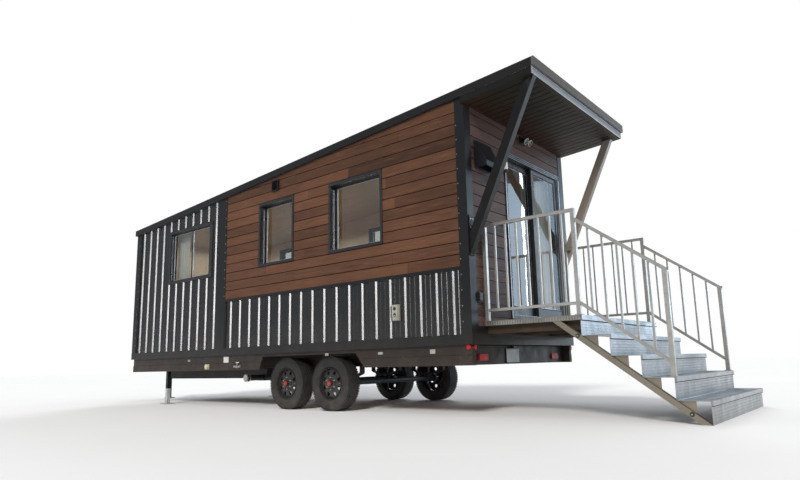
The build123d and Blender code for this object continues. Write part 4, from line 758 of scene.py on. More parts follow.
# Wheels
def tyre(centre, sign, where, body):
    """Rounded casing with four grooves, shoulder lugs and raised rings on the sidewall."""
    half, radius, bead = (TYRE_OUT - TYRE_IN) / 2, TYRE_RADIUS, RIM_RADIUS
    wall = [(0, 0.024), (0.010, 0.010), (0.022, 0.006), (0.026, 0.003), (0.031, 0.005), (0.055, 0)]
    wall += [(0.060, 0.002), (0.085, 0), (0.090, 0.003)]
    shoulder = [(0.030, 0.006), (0.012, 0.018), (0.004, 0.030)]
    profile = [(bead + r, inset - half) for r, inset in wall]
    profile += [(radius - r, inset - half) for r, inset in shoulder]
    tread = []
    for groove in TYRE_GROOVES:
        tread += [(radius, groove - 0.005), (radius - 0.008, groove - 0.003)]
        tread += [(radius - 0.008, groove + 0.003), (radius, groove + 0.005)]
    shapes = Shapes()
    profile += tread + [(r, -along) for r, along in reversed(profile)]
    shapes.turned(profile, centre, Y * sign, 72, True)
    lug = 2 * math.pi * radius / TYRE_LUGS
    for i in range(TYRE_LUGS):
        out = spoke(2 * math.pi * i / TYRE_LUGS)
        along = Vector((-out.z, 0, out.x)) * (lug * 0.32)
        for edge in (-1, 1):
            base = Vector(centre) + Y * (edge * (half - 0.026)) + out * (radius - 0.014)
            corners = ((-1, -1), (1, -1), (1, 1), (-1, 1))
            shapes.prism([base + along * s + Y * (e * LUG_HALF) for s, e in corners], out * LUG_HEIGHT)
    shapes.build(f"tyre_casing_{where}", RUBBER, "tyre", body, [f"tyre_{where}"])


def disc_depth(radius):
    """How far the disc's face lies behind the outer sidewall: a low crown, then a fall to the barrel."""
    crown = math.exp(-(((radius - 0.105) / 0.022) ** 2))
    fall = max(0.0, radius - 0.150) / 0.036
    return RIM_DISC_BACK + 0.006 - 0.010 * crown + 0.012 * fall * fall


def holed_ring(shapes, centre, out):
    """The part of the disc with the round holes: each sector's outline is joined to its hole."""
    steps = 24
    half_turn = math.pi / RIM_HOLES
    mean, spread = (DISC_INNER + DISC_OUTER) / 2, (DISC_OUTER - DISC_INNER) / 2
    for i in range(RIM_HOLES):
        middle = 2 * half_turn * (i + 0.5)
        ahead = spoke(middle)
        across = Vector((-ahead.z, 0, ahead.x))
        points = []
        for j in range(steps):
            t = 2 * math.pi * j / steps
            c, s = math.cos(t), math.sin(t)
            reach = 1 / max(abs(c), abs(s))
            r = mean + spread * c * reach
            ring = [spoke(middle + half_turn * s * reach) * r]
            for grow in (0.005, 0.002, 0.0, 0.0):
                radius = RIM_HOLE_RADIUS + grow
                ring.append(ahead * (RIM_HOLE_CIRCLE + radius * c) + across * (radius * s))
            for place, sink in zip(ring, (0, 0, 0.0006, 0.003, RIM_DISC)):
                points.append(Vector(centre) + place - out * (disc_depth(place.length) + sink))
            points.append(Vector(centre) + ring[0] - out * (disc_depth(r) + RIM_DISC))
        faces = []
        for j in range(steps):
            a, b = j * 6, ((j + 1) % steps) * 6
            faces += [(a + k, a + k + 1, b + k + 1, b + k) for k in range(5)]
        shapes.solid(points, faces)


def rim(centre, sign, where, body):
    """Steel wheel: barrel with a rolled lip, dished disc with eight round holes, hub, nuts and cap."""
    out = Y * sign
    shapes, nuts, cap = Shapes(), Shapes(), Shapes()
    width, edge, hub = TYRE_OUT - TYRE_IN, disc_depth(DISC_OUTER), disc_depth(DISC_INNER)
    barrel = [(DISC_OUTER, -edge), (0.188, -edge + 0.006), (0.1925, -0.020), (0.195, -0.010)]
    barrel += [(0.1985, -0.0055), (0.2025, -0.008), (RIM_RADIUS, -0.014), (RIM_RADIUS, -width + 0.010)]
    barrel += [(0.199, -width + 0.006), (0.195, -width + 0.012), (0.187, -0.130)]
    barrel.append((DISC_OUTER, -edge - RIM_DISC))
    shapes.turned(barrel, centre, out, 72, True)
    holed_ring(shapes, centre, out)
    face = [(0.034, 0.001), (0.037, -0.002), (0.038, -0.022), (0.060, -0.026), (0.064, -0.031)]
    face += [(r, -disc_depth(r)) for r in (0.072, 0.080, 0.088, DISC_INNER)]
    face += [(DISC_INNER, -hub - RIM_DISC), (HUB_RADIUS, -0.048), (HUB_RADIUS, -width + 0.012)]
    shapes.turned(face + [(0.032, -width + 0.012)], centre, out, 48, True)
    shapes.build(f"steel_wheel_{where}", WHEEL_PAINT, "rim", body, [f"rim_{where}"], weld=True)
    nut = [(0.0145, 0), (0.0145, 0.002), (0.0105, 0.003), (0.0105, 0.017), (0.007, 0.021), (0, 0.022)]
    for i in range(NUT_COUNT):
        foot = spoke(math.radians(30 + 360 / NUT_COUNT * i)) * NUT_CIRCLE - out * disc_depth(NUT_CIRCLE)
        nuts.turned(nut, Vector(centre) + foot, out, 6)
    stem = Vector(centre) + X * STEM_REACH - out * 0.040
    nuts.rod(stem, stem + out * 0.028, 0.004, 10)
    nuts.build(f"wheel_nuts_{where}", ZINC, "jack_steel", body)
    dome = [(HUB_CAP_RADIUS, -0.012), (HUB_CAP_RADIUS, 0.004), (0.029, 0.008), (0.024, 0.0125)]
    cap.turned([*dome, (0.014, 0.0150), (0, HUB_CAP_PROUD)], centre, out)
    cap.build(f"hub_cap_{where}", RED_CAP, "red_lens", body)


def wheels():
    for place, x in zip(("rear", "front"), WHEEL_X):
        for sign, side in SIDES:
            where = f"{place}_{side}"
            tyre((x, sign * (TYRE_OUT + TYRE_IN) / 2, TYRE_RADIUS), sign, where, f"wheel_{where}")
            rim((x, sign * TYRE_OUT, TYRE_RADIUS), sign, where, f"wheel_{where}")


# Screws: hexagon heads with a washer, in the flats beside the ribs and down the trims
def screw(shapes, foot, out, size=0.0055):
    profile = [(size * 1.5, 0), (size * 1.5, size * 0.25), (size, size * 0.3), (size, size), (0, size * 1.1)]
    shapes.turned(profile, foot, out, 6)


def screws():
    shapes, trims = Shapes(), Shapes()
    face = SHEET + 0.001
    beside = RIB_BASE / 2 + SCREW_BESIDE_RIB
    hole = window_span(WINDOW_A)
    for sign, _ in SIDES:
        for c in rib_centres(H + CORNER, H + METAL_BAY):
            place = c + beside
            for z in SCREW_ROWS:
                across = hole[0] - 0.02 < place < hole[1] + 0.02
                in_window = across and WINDOW_A[2] - 0.02 < z < WINDOW_A[3] + 0.02
                if z < roof_under(place) - SCREW_CLEAR and not in_window:
                    screw(shapes, (place, sign * (CORE_SIDE + face), z), Y * sign)
        for c in rib_centres(BOARDS_H, BOARDS_E):
            for z in (SCREW_ROWS[0], BOARD_BOTTOM - CAP_HEIGHT - SCREW_CLEAR):
                screw(shapes, (c + beside, sign * (CORE_SIDE + face), z), Y * sign)
    for c in rib_centres(-SIDE + CORNER, SIDE - CORNER):
        for z in SCREW_ROWS:
            screw(shapes, (CORE_H - face, c + beside, z), -X)
    for sign, _ in SIDES:
        place, level = H + METAL_BAY + DIVIDER - 0.018, BOARD_BOTTOM + BOARD_PITCH * 0.4
        while level < roof_under(place) - SCREW_CLEAR:
            screw(trims, (place, sign * TRIM_OUT, level), Y * sign, 0.006)
            level += BOARD_PITCH
        corners = ((E - CORNER + 0.016, 0.0045), (H + CORNER - 0.016, 0.005))
        for k in range(CORNER_SCREWS):
            for (place, size), step in zip(corners, CORNER_SCREW_STEPS):
                screw(trims, (place, sign * TRIM_OUT, CORNER_SCREW_LOW + step * k), Y * sign, size)
    shapes.build("cladding_screws", STEEL, "jack_steel")
    trims.build("trim_screws", ZINC, "jack_steel")


# Covers and lamps on the walls
def outlet_box():
    """Weatherproof box in the flat between two ribs, with two sockets, a lid and its hinge."""
    box, sockets = Shapes(), Shapes()
    place, width, bottom, height, proud = OUTLET
    ribs = rib_centres(BOARDS_H, BOARDS_E)
    middle = min(((a + b) / 2 for a, b in zip(ribs, ribs[1:])), key=lambda x: abs(E - place - x))
    left, right, top, face = middle - width / 2, middle + width / 2, bottom + height, -SIDE - proud
    box.box(left, right, face + 0.014, -CORE_SIDE - SHEET, bottom, top)
    box.box(left + 0.006, right - 0.006, face, face + 0.012, bottom + 0.045, top - 0.008)
    box.box(left + 0.010, right - 0.010, face + 0.004, face + 0.014, bottom + 0.008, bottom + 0.040)
    box.box(middle - 0.012, middle + 0.012, face - 0.003, face + 0.002, bottom + 0.050, bottom + 0.066)
    box.rod((left + 0.008, face + 0.008, top - 0.006), (right - 0.008, face + 0.008, top - 0.006), 0.005)
    box.build("outlet_box", GREY_PLASTIC, "cover_grey", replaces=["outlet_covers"], bevel=0.004, segments=3)
    for up in (0.36, 0.74):
        foot = (middle, face, bottom + up * height)
        sockets.turned([(0.021, -0.001), (0.021, 0.0016), (0, 0.0016)], foot, -Y, 24)
    sockets.build("outlet_sockets", FITTING_BLACK, "black_fitting")


def side_vent():
    """A frame with five slanting slats over a back plate."""
    vent = Shapes()
    place, width, bottom, height, proud = VENT
    bar, x0, x1, top, face = 0.014, E - place, E - place + width, bottom + height, -SIDE - proud
    vent.ring("y", face + 0.006, -SIDE, x0, x1, bottom, top, bar)
    vent.box(x0 + bar, x1 - bar, -SIDE - 0.004, -SIDE, bottom + bar, top - bar)
    for k in range(5):
        z = bottom + 0.022 + k * 0.0245
        slat = ((face, z), (face, z + 0.003), (-SIDE - 0.006, z + 0.024), (-SIDE - 0.006, z + 0.020))
        vent.prism([(x0 + bar, *corner) for corner in slat], (width - 2 * bar, 0, 0))
    vent.build("side_vent", FITTING_BLACK, "black_fitting", replaces=["outlet_covers"], bevel=0.0015)


def end_outlet():
    cover = Shapes()
    place, width, bottom, height, proud = END_OUTLET
    y0, top, face = place - SIDE, bottom + height, E + proud
    y1 = y0 + width
    cover.box(E, E + 0.016, y0, y1, bottom, top)
    cover.box(E + 0.016, face, y0 + 0.006, y1 - 0.006, bottom + 0.012, top - 0.012)
    cover.rod((E + 0.022, y0 + 0.004, top - 0.012), (E + 0.022, y1 - 0.004, top - 0.012), 0.006)
    cover.box(face - 0.004, face + 0.003, y0 + 0.028, y1 - 0.028, bottom + 0.016, bottom + 0.026)
    replaces = ["outlet_covers"]
    cover.build("end_outlet", FITTING_BLACK, "black_fitting", replaces=replaces, bevel=0.003, segments=3)


def lantern():
    """Caged lantern: back plate, arm, hat, foot and four posts round a glass."""
    cage, shade = Shapes(), Shapes()
    y, z = LANTERN_Y, LANTERN_Z
    centre = Vector((E + 0.066, y, z))
    cage.box(E, E + 0.014, y - 0.055, y + 0.055, z - 0.055, z + 0.075)
    cage.box(E + 0.010, E + 0.050, y - 0.012, y + 0.012, z + 0.052, z + 0.064)
    hat = [(0.012, 0.078), (0.034, 0.075), (0.040, 0.062), (0.040, 0.056), (0.034, 0.052), (0, 0.052)]
    foot = [(0, -0.075), (0.030, -0.075), (0.037, -0.068), (0.037, -0.050), (0.030, -0.046), (0, -0.046)]
    glazing = [(0, -0.048), (0.026, -0.047), (0.032, -0.040), (0.0335, 0.0), (0.032, 0.045), (0.026, 0.052)]
    cage.turned(hat, centre, Z)
    cage.turned(foot, centre, Z)
    for k in range(4):
        a = math.radians(45 + 90 * k)
        post = centre + Vector((0.036 * math.cos(a), 0.036 * math.sin(a), 0))
        cage.rod(post - Z * 0.052, post + Z * 0.058, 0.0025, 8)
    cage.build("lantern_frame", FITTING_BLACK, "black_fitting", replaces=["wall_lamps"], bevel=0.002)
    shade.turned(glazing + [(0, 0.053)], centre, Z, 40)
    shade.build("lantern_glass", LAMP_GLASS, "plate_white", replaces=["wall_lamps"])


def floodlight():
    """Twin floodlight: a box under the soffit, two shells turned down and outward, rims and lenses."""
    base, heads, rims, lens = Shapes(), Shapes(), Shapes(), Shapes()
    y, z = FLOOD_Y, roof_under(E) - CEILING_THICKNESS - 0.078
    base.box(E, E + 0.030, y - 0.060, y + 0.060, z - 0.050, z + 0.050)
    base.turned([(0.030, 0.0), (0.030, 0.012), (0.022, 0.020), (0, 0.022)], (E + 0.030, y, z), X, 24)
    replaces = ["wall_lamps"]
    base.build("floodlight_base", FITTING_BLACK, "black_fitting", replaces=replaces, bevel=0.006, segments=3)
    shell = [(0, 0.0), (0.014, 0.001), (0.026, 0.010), (0.036, 0.040), (0.040, 0.062), (0.040, 0.070)]
    shell += [(0.037, 0.070), (0.033, 0.056), (0, 0.054)]
    edge = [(0.0365, 0.066), (0.0405, 0.066), (0.0412, 0.0705), (0.0365, 0.0715)]
    way = Vector((0.82, 0, -0.57))
    for offset in (-0.048, 0.048):
        foot = Vector((E + 0.046, y + offset, z - 0.004))
        heads.turned(shell, foot, way)
        heads.rod((E + 0.030, y + offset * 0.4, z), foot + way * 0.02, 0.008)
        rims.turned(edge, foot, way, loop=True)
        lens.turned([(0.0335, 0.057), (0.0335, 0.061), (0.024, 0.065), (0, 0.067)], foot, way)
    heads.build("floodlight_heads", FITTING_BLACK, "black_fitting", replaces=replaces)
    rims.build("floodlight_rims", WHITE_PLASTIC, "plate_white")
    lens.build("floodlight_lenses", LENS_DARK, "glass")


# Glazing spacers, drip strips, door head, sill and jamb lines; the door's light sill and jamb lines are
# partly painted highlights
def window_details():
    spacers, drips = Shapes(), Shapes()
    inner = FRAME_WIDTH + SASH_WIDTH
    for sign, _ in SIDES:
        for window in (WINDOW_A, WINDOW_B, WINDOW_C):
            w0, w1 = window_span(window)
            sill, head, recess = window[2:]
            level = sign * (SIDE - recess - 0.0055)
            middle = (w0 + w1) / 2
            panes = [(w0 + inner, w1 - inner)]
            if window is WINDOW_A:
                panes = [(w0 + inner, middle - MULLION / 2), (middle + MULLION / 2, w1 - inner)]
            for p, q in panes:
                bottom, top = sill + inner, head - inner
                spacers.ring("y", level, level + sign * 0.0015, p, q, bottom, top, 0.005)
                y0, y1 = sorted((level, level + sign * 0.002))
                spacers.box(p + 0.0052, p + 0.022, y0, y1, bottom + 0.006, top - 0.006)
            out = SIDE + 0.0075
            y0, y1 = sorted((sign * (out - 0.02), sign * (out + 0.006)))
            drips.box(w0 - 0.006, w1 + 0.006, y0, y1, head, head + 0.004)
            y0, y1 = sorted((sign * (out - 0.03), sign * (out + 0.010)))
            drips.box(w0, w1, y0, y1, sill - 0.003, sill + 0.006)
    spacers.build("window_spacers", LIGHT_LINE, "aluminium")
    drips.build("window_drips", FRAME_BLACK, "window_black", bevel=0.001)


def door_details():
    fins, lines = Shapes(), Shapes()
    x, y0, y1, sill, head = DOOR_HIGH.x, DOOR_LOW.y, DOOR_HIGH.y, DOOR_LOW.z, DOOR_HIGH.z - DOOR_HEAD
    for k in range(3):
        z = head + 0.003 + k * 0.024
        fin = ((x - 0.001, z), (x + 0.0075, z + 0.001), (x + 0.0075, z + 0.006), (x - 0.001, z + 0.009))
        fins.prism([(p, y0, q) for p, q in fin], (0, y1 - y0, 0))
    # Blue-grey ridges on the door head: metal, partly a painted reflection of the sky.
    fins.build("door_head_ridges", HEAD_SKY_GREY, "window_black")
    # Light strips on the sill and jambs: thin aluminium lines that also stand in for painted highlights of
    # the sun and sky on these faces.
    lines.box(x - 0.034, x + 0.006, y0 + 0.045, y1 - 0.045, sill + 0.0445, sill + 0.0475)
    lines.box(x - 0.001, x + 0.006, y1 - 0.018, y1 - 0.004, sill + 0.01, head)
    lines.box(x - 0.060, x - 0.005, y1 - 0.0465, y1 - 0.0445, sill + 0.05, head)
    lines.box(x - 0.001, x + 0.003, y0 + 0.004, y0 + 0.012, sill + 0.01, head)
    lines.build("door_frame_lines", LIGHT_LINE, "aluminium")
    for name, body in (("sliding", "sliding_door"), ("fixed", "house")):
        low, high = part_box(f"patio_door_{name}_glass")
        face = high.x + 0.0003
        beads = Shapes()
        beads.ring("x", face, face + 0.004, low.y, high.y, low.z, high.z, 0.012)
        beads.build(f"{name}_glass_gasket", MEMBRANE, "window_black", body, bevel=0.001)
        beads = Shapes()
        gap = 0.0125
        beads.ring("x", face, face + 0.001, low.y + gap, high.y - gap, low.z + gap, high.z - gap, 0.005)
        beads.build(f"{name}_glass_spacer", LIGHT_LINE, "aluminium", body)


def canopy_lines():
    """Light drip edges under the fascia and along the canopy's box."""
    shapes = Shapes()
    for sign, _ in SIDES:
        for size, inset in ((0.007, 0.0245), (0.004, 0.001)):
            corners = ((E + 0.004, 0.0), (ROOF_E, 0.0), (ROOF_E, size), (E + 0.004, size))
            edge = [(x, sign * (FASCIA_OUT - inset), roof_under(x) + up) for x, up in corners]
            shapes.prism(edge, (0, -sign * 0.006, 0))
    front, out = SOFFIT_HIGH.x, SOFFIT_HIGH.y
    level = roof_under(front) - CEILING_THICKNESS
    for low, high in ((-0.001, 0.004), (0.072, 0.076)):
        shapes.box(front - 0.002, front + 0.004, -out, out, level + low, level + high)
    shapes.build("canopy_drip_edges", LIGHT_LINE, "black_trim", bevel=0.0008, segments=1)


def hood_details():
    """The vent hood's flange, lip and fold line."""
    shapes = Shapes()
    low, high = HOOD_LOW, HOOD_HIGH
    fold = low.z + 0.060
    shapes.box(E, E + 0.004, low.y - 0.016, high.y + 0.016, low.z - 0.010, high.z + 0.014)
    lip = ((0, 0), (0.008, -0.004), (0.008, 0.004), (0, 0.012))
    shapes.prism([(high.x + out, low.y, low.z + up) for out, up in lip], (0, high.y - low.y, 0))
    shapes.box(high.x - 0.004, high.x + 0.003, low.y - 0.002, high.y + 0.002, fold - 0.003, fold + 0.003)
    shapes.build("vent_hood_flange", FITTING_BLACK, "black_fitting", bevel=0.001)


# Landing and steps: raised diamonds, serrated edge, nosings, bolts and plates
def diamond(shapes, middle, along, across, up):
    ends = [middle + along * (DIAMOND_LENGTH / 2), middle - along * (DIAMOND_LENGTH / 2)]
    sides = [middle + across * (DIAMOND_WIDTH / 2), middle - across * (DIAMOND_WIDTH / 2)]
    tops = [middle + along * (s * DIAMOND_LENGTH * 0.22) + up * DIAMOND_HEIGHT for s in (1, -1)]
    points = [ends[0], sides[0], ends[1], sides[1], *tops]
    faces = [(0, 1, 4), (4, 1, 5), (1, 2, 5), (2, 3, 5), (5, 3, 4), (3, 0, 4), (0, 3, 2, 1)]
    shapes.solid(points, faces)


def diamond_field(shapes, corner, along, across, length, width, up):
    """Diamonds in two directions, a chessboard of slanting pairs."""
    columns, rows = int(length / DIAMOND_PITCH), int(width / DIAMOND_PITCH)
    for i in range(columns):
        for j in range(rows):
            turn = 1 if (i + j) % 2 else -1
            way = (along + across * turn).normalized()
            side = (along * -turn + across).normalized()
            place = along * ((i + 0.5) * length / columns) + across * ((j + 0.5) * width / rows)
            diamond(shapes, Vector(corner) + place, way, side, up)


def tread_diamonds():
    shapes = Shapes()
    rise = DECK_HIGH.z / (STEP_COUNT + 1)
    y = DECK_LOW.y + PLATE_EDGE
    width = DECK_HIGH.y - DECK_LOW.y - 2 * PLATE_EDGE
    for k in range(STEP_COUNT + 1):
        nose = step_nose(k)
        back = (nose - STEP_RUN - RISER_BACK if k else DECK_LOW.x) + PLATE_EDGE
        corner = (back, y, DECK_HIGH.z - k * rise - SUNK)
        diamond_field(shapes, corner, X, Y, nose - PLATE_EDGE - back, width, Z)
    for k in range(STEP_COUNT + 1):
        level = DECK_HIGH.z - k * rise
        low = level - rise + PLATE_EDGE
        high = level - NOSE_LIP - 0.012 if k else DECK_HIGH.z - 0.08
        corner = (step_nose(k) - RISER_BACK - SUNK, y, low)
        diamond_field(shapes, corner, Y, Z, width, high - low, X)
    shapes.build("tread_plate_diamonds", PLATE, "aluminium")


def deck_edge():
    """Serrated strip along the landing's open sides: teeth between two flanges."""
    shapes = Shapes()
    x0, length, top = DECK_LOW.x, DECK_HIGH.x - DECK_LOW.x, DECK_HIGH.z
    pitch, tooth, lip = 0.030, 0.020, 0.008
    count = int(length / pitch)
    for z0, z1 in ((top - 0.006, top + 0.0015), (top - APRON, top - APRON + 0.006)):
        for y0, y1 in ((DECK_LOW.y - 0.005, DECK_LOW.y), (DECK_HIGH.y, DECK_HIGH.y + 0.005)):
            shapes.box(x0, DECK_HIGH.x + 0.002, y0, y1, z0, z1)
    for i in range(count):
        x = x0 + (i + 0.5) * length / count
        outline = [(x - tooth / 2, top - lip), (x + tooth / 2, top - lip)]
        outline += [(x + tooth / 4, top - APRON + lip), (x - tooth / 4, top - APRON + lip)]
        for face, way in ((DECK_LOW.y, -1), (DECK_HIGH.y, 1)):
            shapes.prism([(p, face + way * 0.004, z) for p, z in outline], (0, -way * 0.006, 0))
    shapes.build("deck_edge", ALUMINIUM, "aluminium")


def step_trims():
    """Grooves in the nosings, and a dark strip under each, a painted shade line."""
    noses, lines = Shapes(), Shapes()
    for k in range(STEP_COUNT + 1):
        x, z = step_nose(k), step_top(k)
        for i in range(6):
            cut = x - 0.006 - i * 0.0075
            noses.box(cut - 0.002, cut + 0.002, DECK_LOW.y + 0.004, DECK_HIGH.y - 0.004, z - SUNK, z + 0.0014)
        low = z - (NOSE_LIP if k else APRON)
        y0, y1 = DECK_LOW.y + 0.002, DECK_HIGH.y - 0.002
        # A dark strip under each nosing lip: painted shade.
        lines.box(x - RISER_BACK - 0.001, x - 0.002, y0, y1, low - 0.006, low)
    noses.build("nosing_grooves", PLATE, "aluminium")
    lines.build("nosing_seals", MEMBRANE, "pipe_black")


def stair_hardware():
    """Base plates and bolts of the posts, stringer bolts on their washers, and rail end caps."""
    bolts, plates, caps = Shapes(), Shapes(), Shapes()
    half, inset = POST / 2 + 0.014, 0.003
    rows = (RAIL_LOW.y + POST / 2, RAIL_HIGH.y - POST / 2)
    joint = DECK_HIGH.z + 0.12
    posts = [(x, DECK_HIGH.z, joint) for x in (RAIL_LOW.x + POST / 2, RAIL_HIGH.x - POST / 2)]
    posts.append((STAIR_RAIL_END - POST / 2 - 0.006, step_top(3), step_top(3) + 0.13))
    for y in rows:
        for x, z, joint in posts:
            x0 = max(x - half, DECK_LOW.x)
            plates.box(x0, x + half, y - half + inset, y + half - inset, z, z + 0.006)
            for dx in (-1, 1):
                for dy in (-1, 1):
                    along = min(max(x + dx * (half - 0.007), x0 + 0.007), x + half)
                    foot = (along, y + dy * (half - 0.010), z + 0.006)
                    bolts.turned([(0.0062, 0), (0.0062, 0.004), (0, 0.0045)], foot, Z, 6)
            for dx in (-1, 1):
                foot = (x + dx * 0.008, y - POST / 2, joint)
                bolts.turned([(0.005, 0), (0.004, 0.003), (0, 0.0035)], foot, -Y, 8)
    rise = step_top(0) - step_top(1)
    slope = rise / STEP_RUN
    foot = DECK_HIGH.x - RISER_BACK - PLATE_THICKNESS - STRINGER / 2 * math.hypot(1, slope) / slope * 0.9
    for face, way in ((DECK_LOW.y + PLATE_THICKNESS, -1), (DECK_HIGH.y - PLATE_THICKNESS, 1)):
        for z in STRINGER_CAPS:
            place = (foot + (DECK_HIGH.z - rise - z) / slope, face, z)
            caps.turned([(0.021, 0), (0.021, 0.004), (0.014, 0.006), (0, 0.006)], place, Y * way, 24)
            bolts.turned([(0.008, 0.006), (0.008, 0.011), (0, 0.012)], place, Y * way, 6)
    top = step_top(3) + RAIL_HIGH.z - DECK_HIGH.z
    for y in rows:
        y0, y1 = y - POST / 2 + inset, y + POST / 2 - inset
        caps.box(STAIR_RAIL_END - 0.001, STAIR_RAIL_END + 0.003, y0, y1, top - 0.13, top - 0.105)
    bolts.build("stair_bolts", ZINC, "jack_steel")
    plates.build("post_plates", RAILS, "rail_aluminium", bevel=0.0015)
    caps.build("stair_caps", PIPE_BLACK, "pipe_black", bevel=0.001)


def brace_bolts():
    """Bolts through the feet of the canopy's braces."""
    shapes = Shapes()
    low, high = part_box("canopy_braces")
    bolt = [(0.0114, 0), (0.0114, 0.0025), (0.0066, 0.003), (0.0066, 0.009), (0.0048, 0.0105), (0, 0.011)]
    for sign, foot in ((-1, low.z), (1, FAR_BRACE_FOOT)):
        for up in (0.31, 0.41):
            for across in (-0.018, 0.018):
                shapes.turned(bolt, (E + 0.016, sign * (high.y - 0.0425) + across, foot + up), X, 6)
    shapes.build("brace_bolts", ZINC, "jack_steel")


# Trailer
def rail_fittings(white, yellow, bright, plain):
    """Tags, the data plate, an inlet with its yellow plug, and a lever valve, on the near rail."""
    rail = -CORE_SIDE
    lip = rail + 0.008
    x0, x1, z0, z1 = REFLECTOR
    plain.box(x0, x1, lip - 0.006, lip, z0, z1)
    x0, x1, z0, z1 = DATA_PLATE
    white.box(x0, x1, lip - 0.003, lip, z0, z1)
    plain.box(x0 - 0.006, x1 + 0.006, lip - 0.0015, lip, z0 - 0.006, z1 + 0.006)
    for x, z, wide in RAIL_TAGS:
        plain.box(x - wide, x + wide, lip - 0.010, lip, z - 0.015, z + 0.015)
        for along in (-0.6, 0.6):
            foot = (x + wide * along, lip - 0.010, z)
            bright.turned([(0.005, 0), (0.005, 0.004), (0, 0.005)], foot, -Y, 8)
    plain.box(INLET_X - 0.045, INLET_X + 0.075, rail - 0.006, rail, 0.555, 0.635)
    socket = [(0.034, 0), (0.034, 0.012), (0.026, 0.020), (0.026, 0.006), (0, 0.006)]
    white.turned(socket, (INLET_X, rail - 0.006, 0.600), -Y, 28)
    plug = [(0.016, 0), (0.016, 0.030), (0.011, 0.036), (0, 0.036)]
    yellow.turned(plug, (PLUG_X, rail - 0.006, VALVE_Z), -Y, 20)
    yellow.rod((PLUG_X, rail - 0.030, VALVE_Z), (PLUG_X, rail - 0.030, 0.560), 0.010)
    bright.rod((VALVE_X - 0.08, rail - 0.010, VALVE_Z), (VALVE_X + 0.08, rail - 0.010, VALVE_Z), 0.011)
    body = [(0.020, -0.022), (0.023, -0.014), (0.023, 0.014), (0.020, 0.022)]
    bright.turned(body, (VALVE_X, rail - 0.010, VALVE_Z), X, 16)
    bright.rod((VALVE_X, rail - 0.010, 0.600), (VALVE_X, rail - 0.012, 0.645), 0.006)
    white.box(VALVE_X - 0.025, VALVE_X + 0.045, rail - 0.020, rail - 0.008, 0.640, 0.652)
    for x in (VALVE_X - 0.065, VALVE_X + 0.065):
        plain.box(x - 0.008, x + 0.008, rail - 0.024, rail, VALVE_Z - 0.016, VALVE_Z + 0.016)


def drain_fittings(bright, plain):
    """Two clamps and a bayonet cap on the drain's collar."""
    clamp = [(0.001, 0), (0.004, 0.001), (0.004, 0.009), (0.001, 0.010)]
    for y in (-TYRE_OUT + 0.095, -TYRE_OUT + 0.047):
        bright.turned([(COLLAR_RADIUS + r, along) for r, along in clamp], (PIPE_X, y, PIPE_Z), Y, 40)
    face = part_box("waste_pipe")[0].y
    cap = [(0.047, -0.001), (0.047, 0.004), (0.040, 0.007), (0.012, 0.007), (0, 0.007)]
    plain.turned(cap, (PIPE_X, face, PIPE_Z), -Y, 36)
    plain.box(PIPE_X - 0.038, PIPE_X + 0.038, face - 0.013, face - 0.005, PIPE_Z - 0.006, PIPE_Z + 0.006)


def plate_holder(black, bright):
    """A bent channel round the number plate, four bolts and a small lamp over it."""
    low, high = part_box("number_plate")
    rim, middle = 0.012, (low.y + high.y) / 2
    y0, y1, z0, z1 = low.y - rim, high.y + rim, low.z - rim, high.z + rim
    black.ring("x", low.x - 0.001, low.x + 0.012, y0, y1, z0, z1, rim)
    black.box(low.x, low.x + 0.045, middle - 0.035, middle + 0.035, high.z + 0.013, high.z + 0.034)
    for y in (low.y + 0.05, high.y - 0.05):
        for z in (low.z + 0.018, high.z - 0.018):
            bright.turned([(0.006, 0), (0.005, 0.003), (0, 0.004)], (high.x, y, z), X, 8)


def trailer_fittings():
    black, bright, white, yellow, plain = Shapes(), Shapes(), Shapes(), Shapes(), Shapes()
    rail_fittings(white, yellow, bright, plain)
    drain_fittings(bright, plain)
    plate_holder(black, bright)
    plain.build("rail_fittings", GREY_PLASTIC, "cover_grey", bevel=0.001)
    black.build("plate_holder", FITTING_BLACK, "black_fitting", bevel=0.001)
    white.build("data_plate_and_inlet", WHITE_PLASTIC, "plate_white", bevel=0.0008)
    yellow.build("inlet_plug", YELLOW_PLASTIC, "cover_grey")
    bright.build("bright_fittings", ZINC, "jack_steel")


def lamp_bases():
    """Black rubber seat round each round marker lamp and a lens ridge on its face."""
    seats, ridges = Shapes(), Shapes()
    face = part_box("marker_lamps")[1].x - 0.0004
    seat = [(0.030, 0), (0.043, 0.001), (0.043, 0.007), (0.034, 0.010)]
    for sign, _ in SIDES:
        y = sign * (CORE_SIDE - 0.043)
        seats.turned(seat, (CORE_E, y, MARKER_Z), X, loop=True)
        for r in (0.010, 0.020):
            ridges.turned([(r, 0), (r + 0.0012, 0.0012), (r + 0.0024, 0)], (face, y, MARKER_Z), X, loop=True)
    seats.build("lamp_seats", PIPE_BLACK, "pipe_black")
    ridges.build("lens_ridges", RED_LENS, "red_lens")


def axle_details():
    """U-bolts and pads where the springs sit, and shackle bolts at their ends."""
    dark = Shapes()
    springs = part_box("leaf_springs")[1]
    under, over = TYRE_RADIUS - 0.046, TYRE_RADIUS + 0.046
    shackle = [(0.014, 0), (0.014, 0.006), (0.010, 0.010), (0, 0.011)]
    for x in WHEEL_X:
        for sign, _ in SIDES:
            y = sign * (springs.y - 0.030)
            for dx in (-0.045, 0.045):
                for dy in (-0.036, 0.036):
                    dark.rod((x + dx, y + dy, under), (x + dx, y + dy, over + 0.052), 0.0065, 8)
            for z0, z1 in ((under - 0.004, under + 0.006), (over + 0.031, over + 0.039)):
                dark.box(x - 0.058, x + 0.058, y - 0.044, y + 0.044, z0, z1)
            for spot in (x - SPRING_END, x + SPRING_END):
                dark.turned(shackle, (spot, y + sign * 0.030, springs.z - 0.03), Y * sign, 6)
    dark.build("spring_bolts", SPRING, "spring_steel")


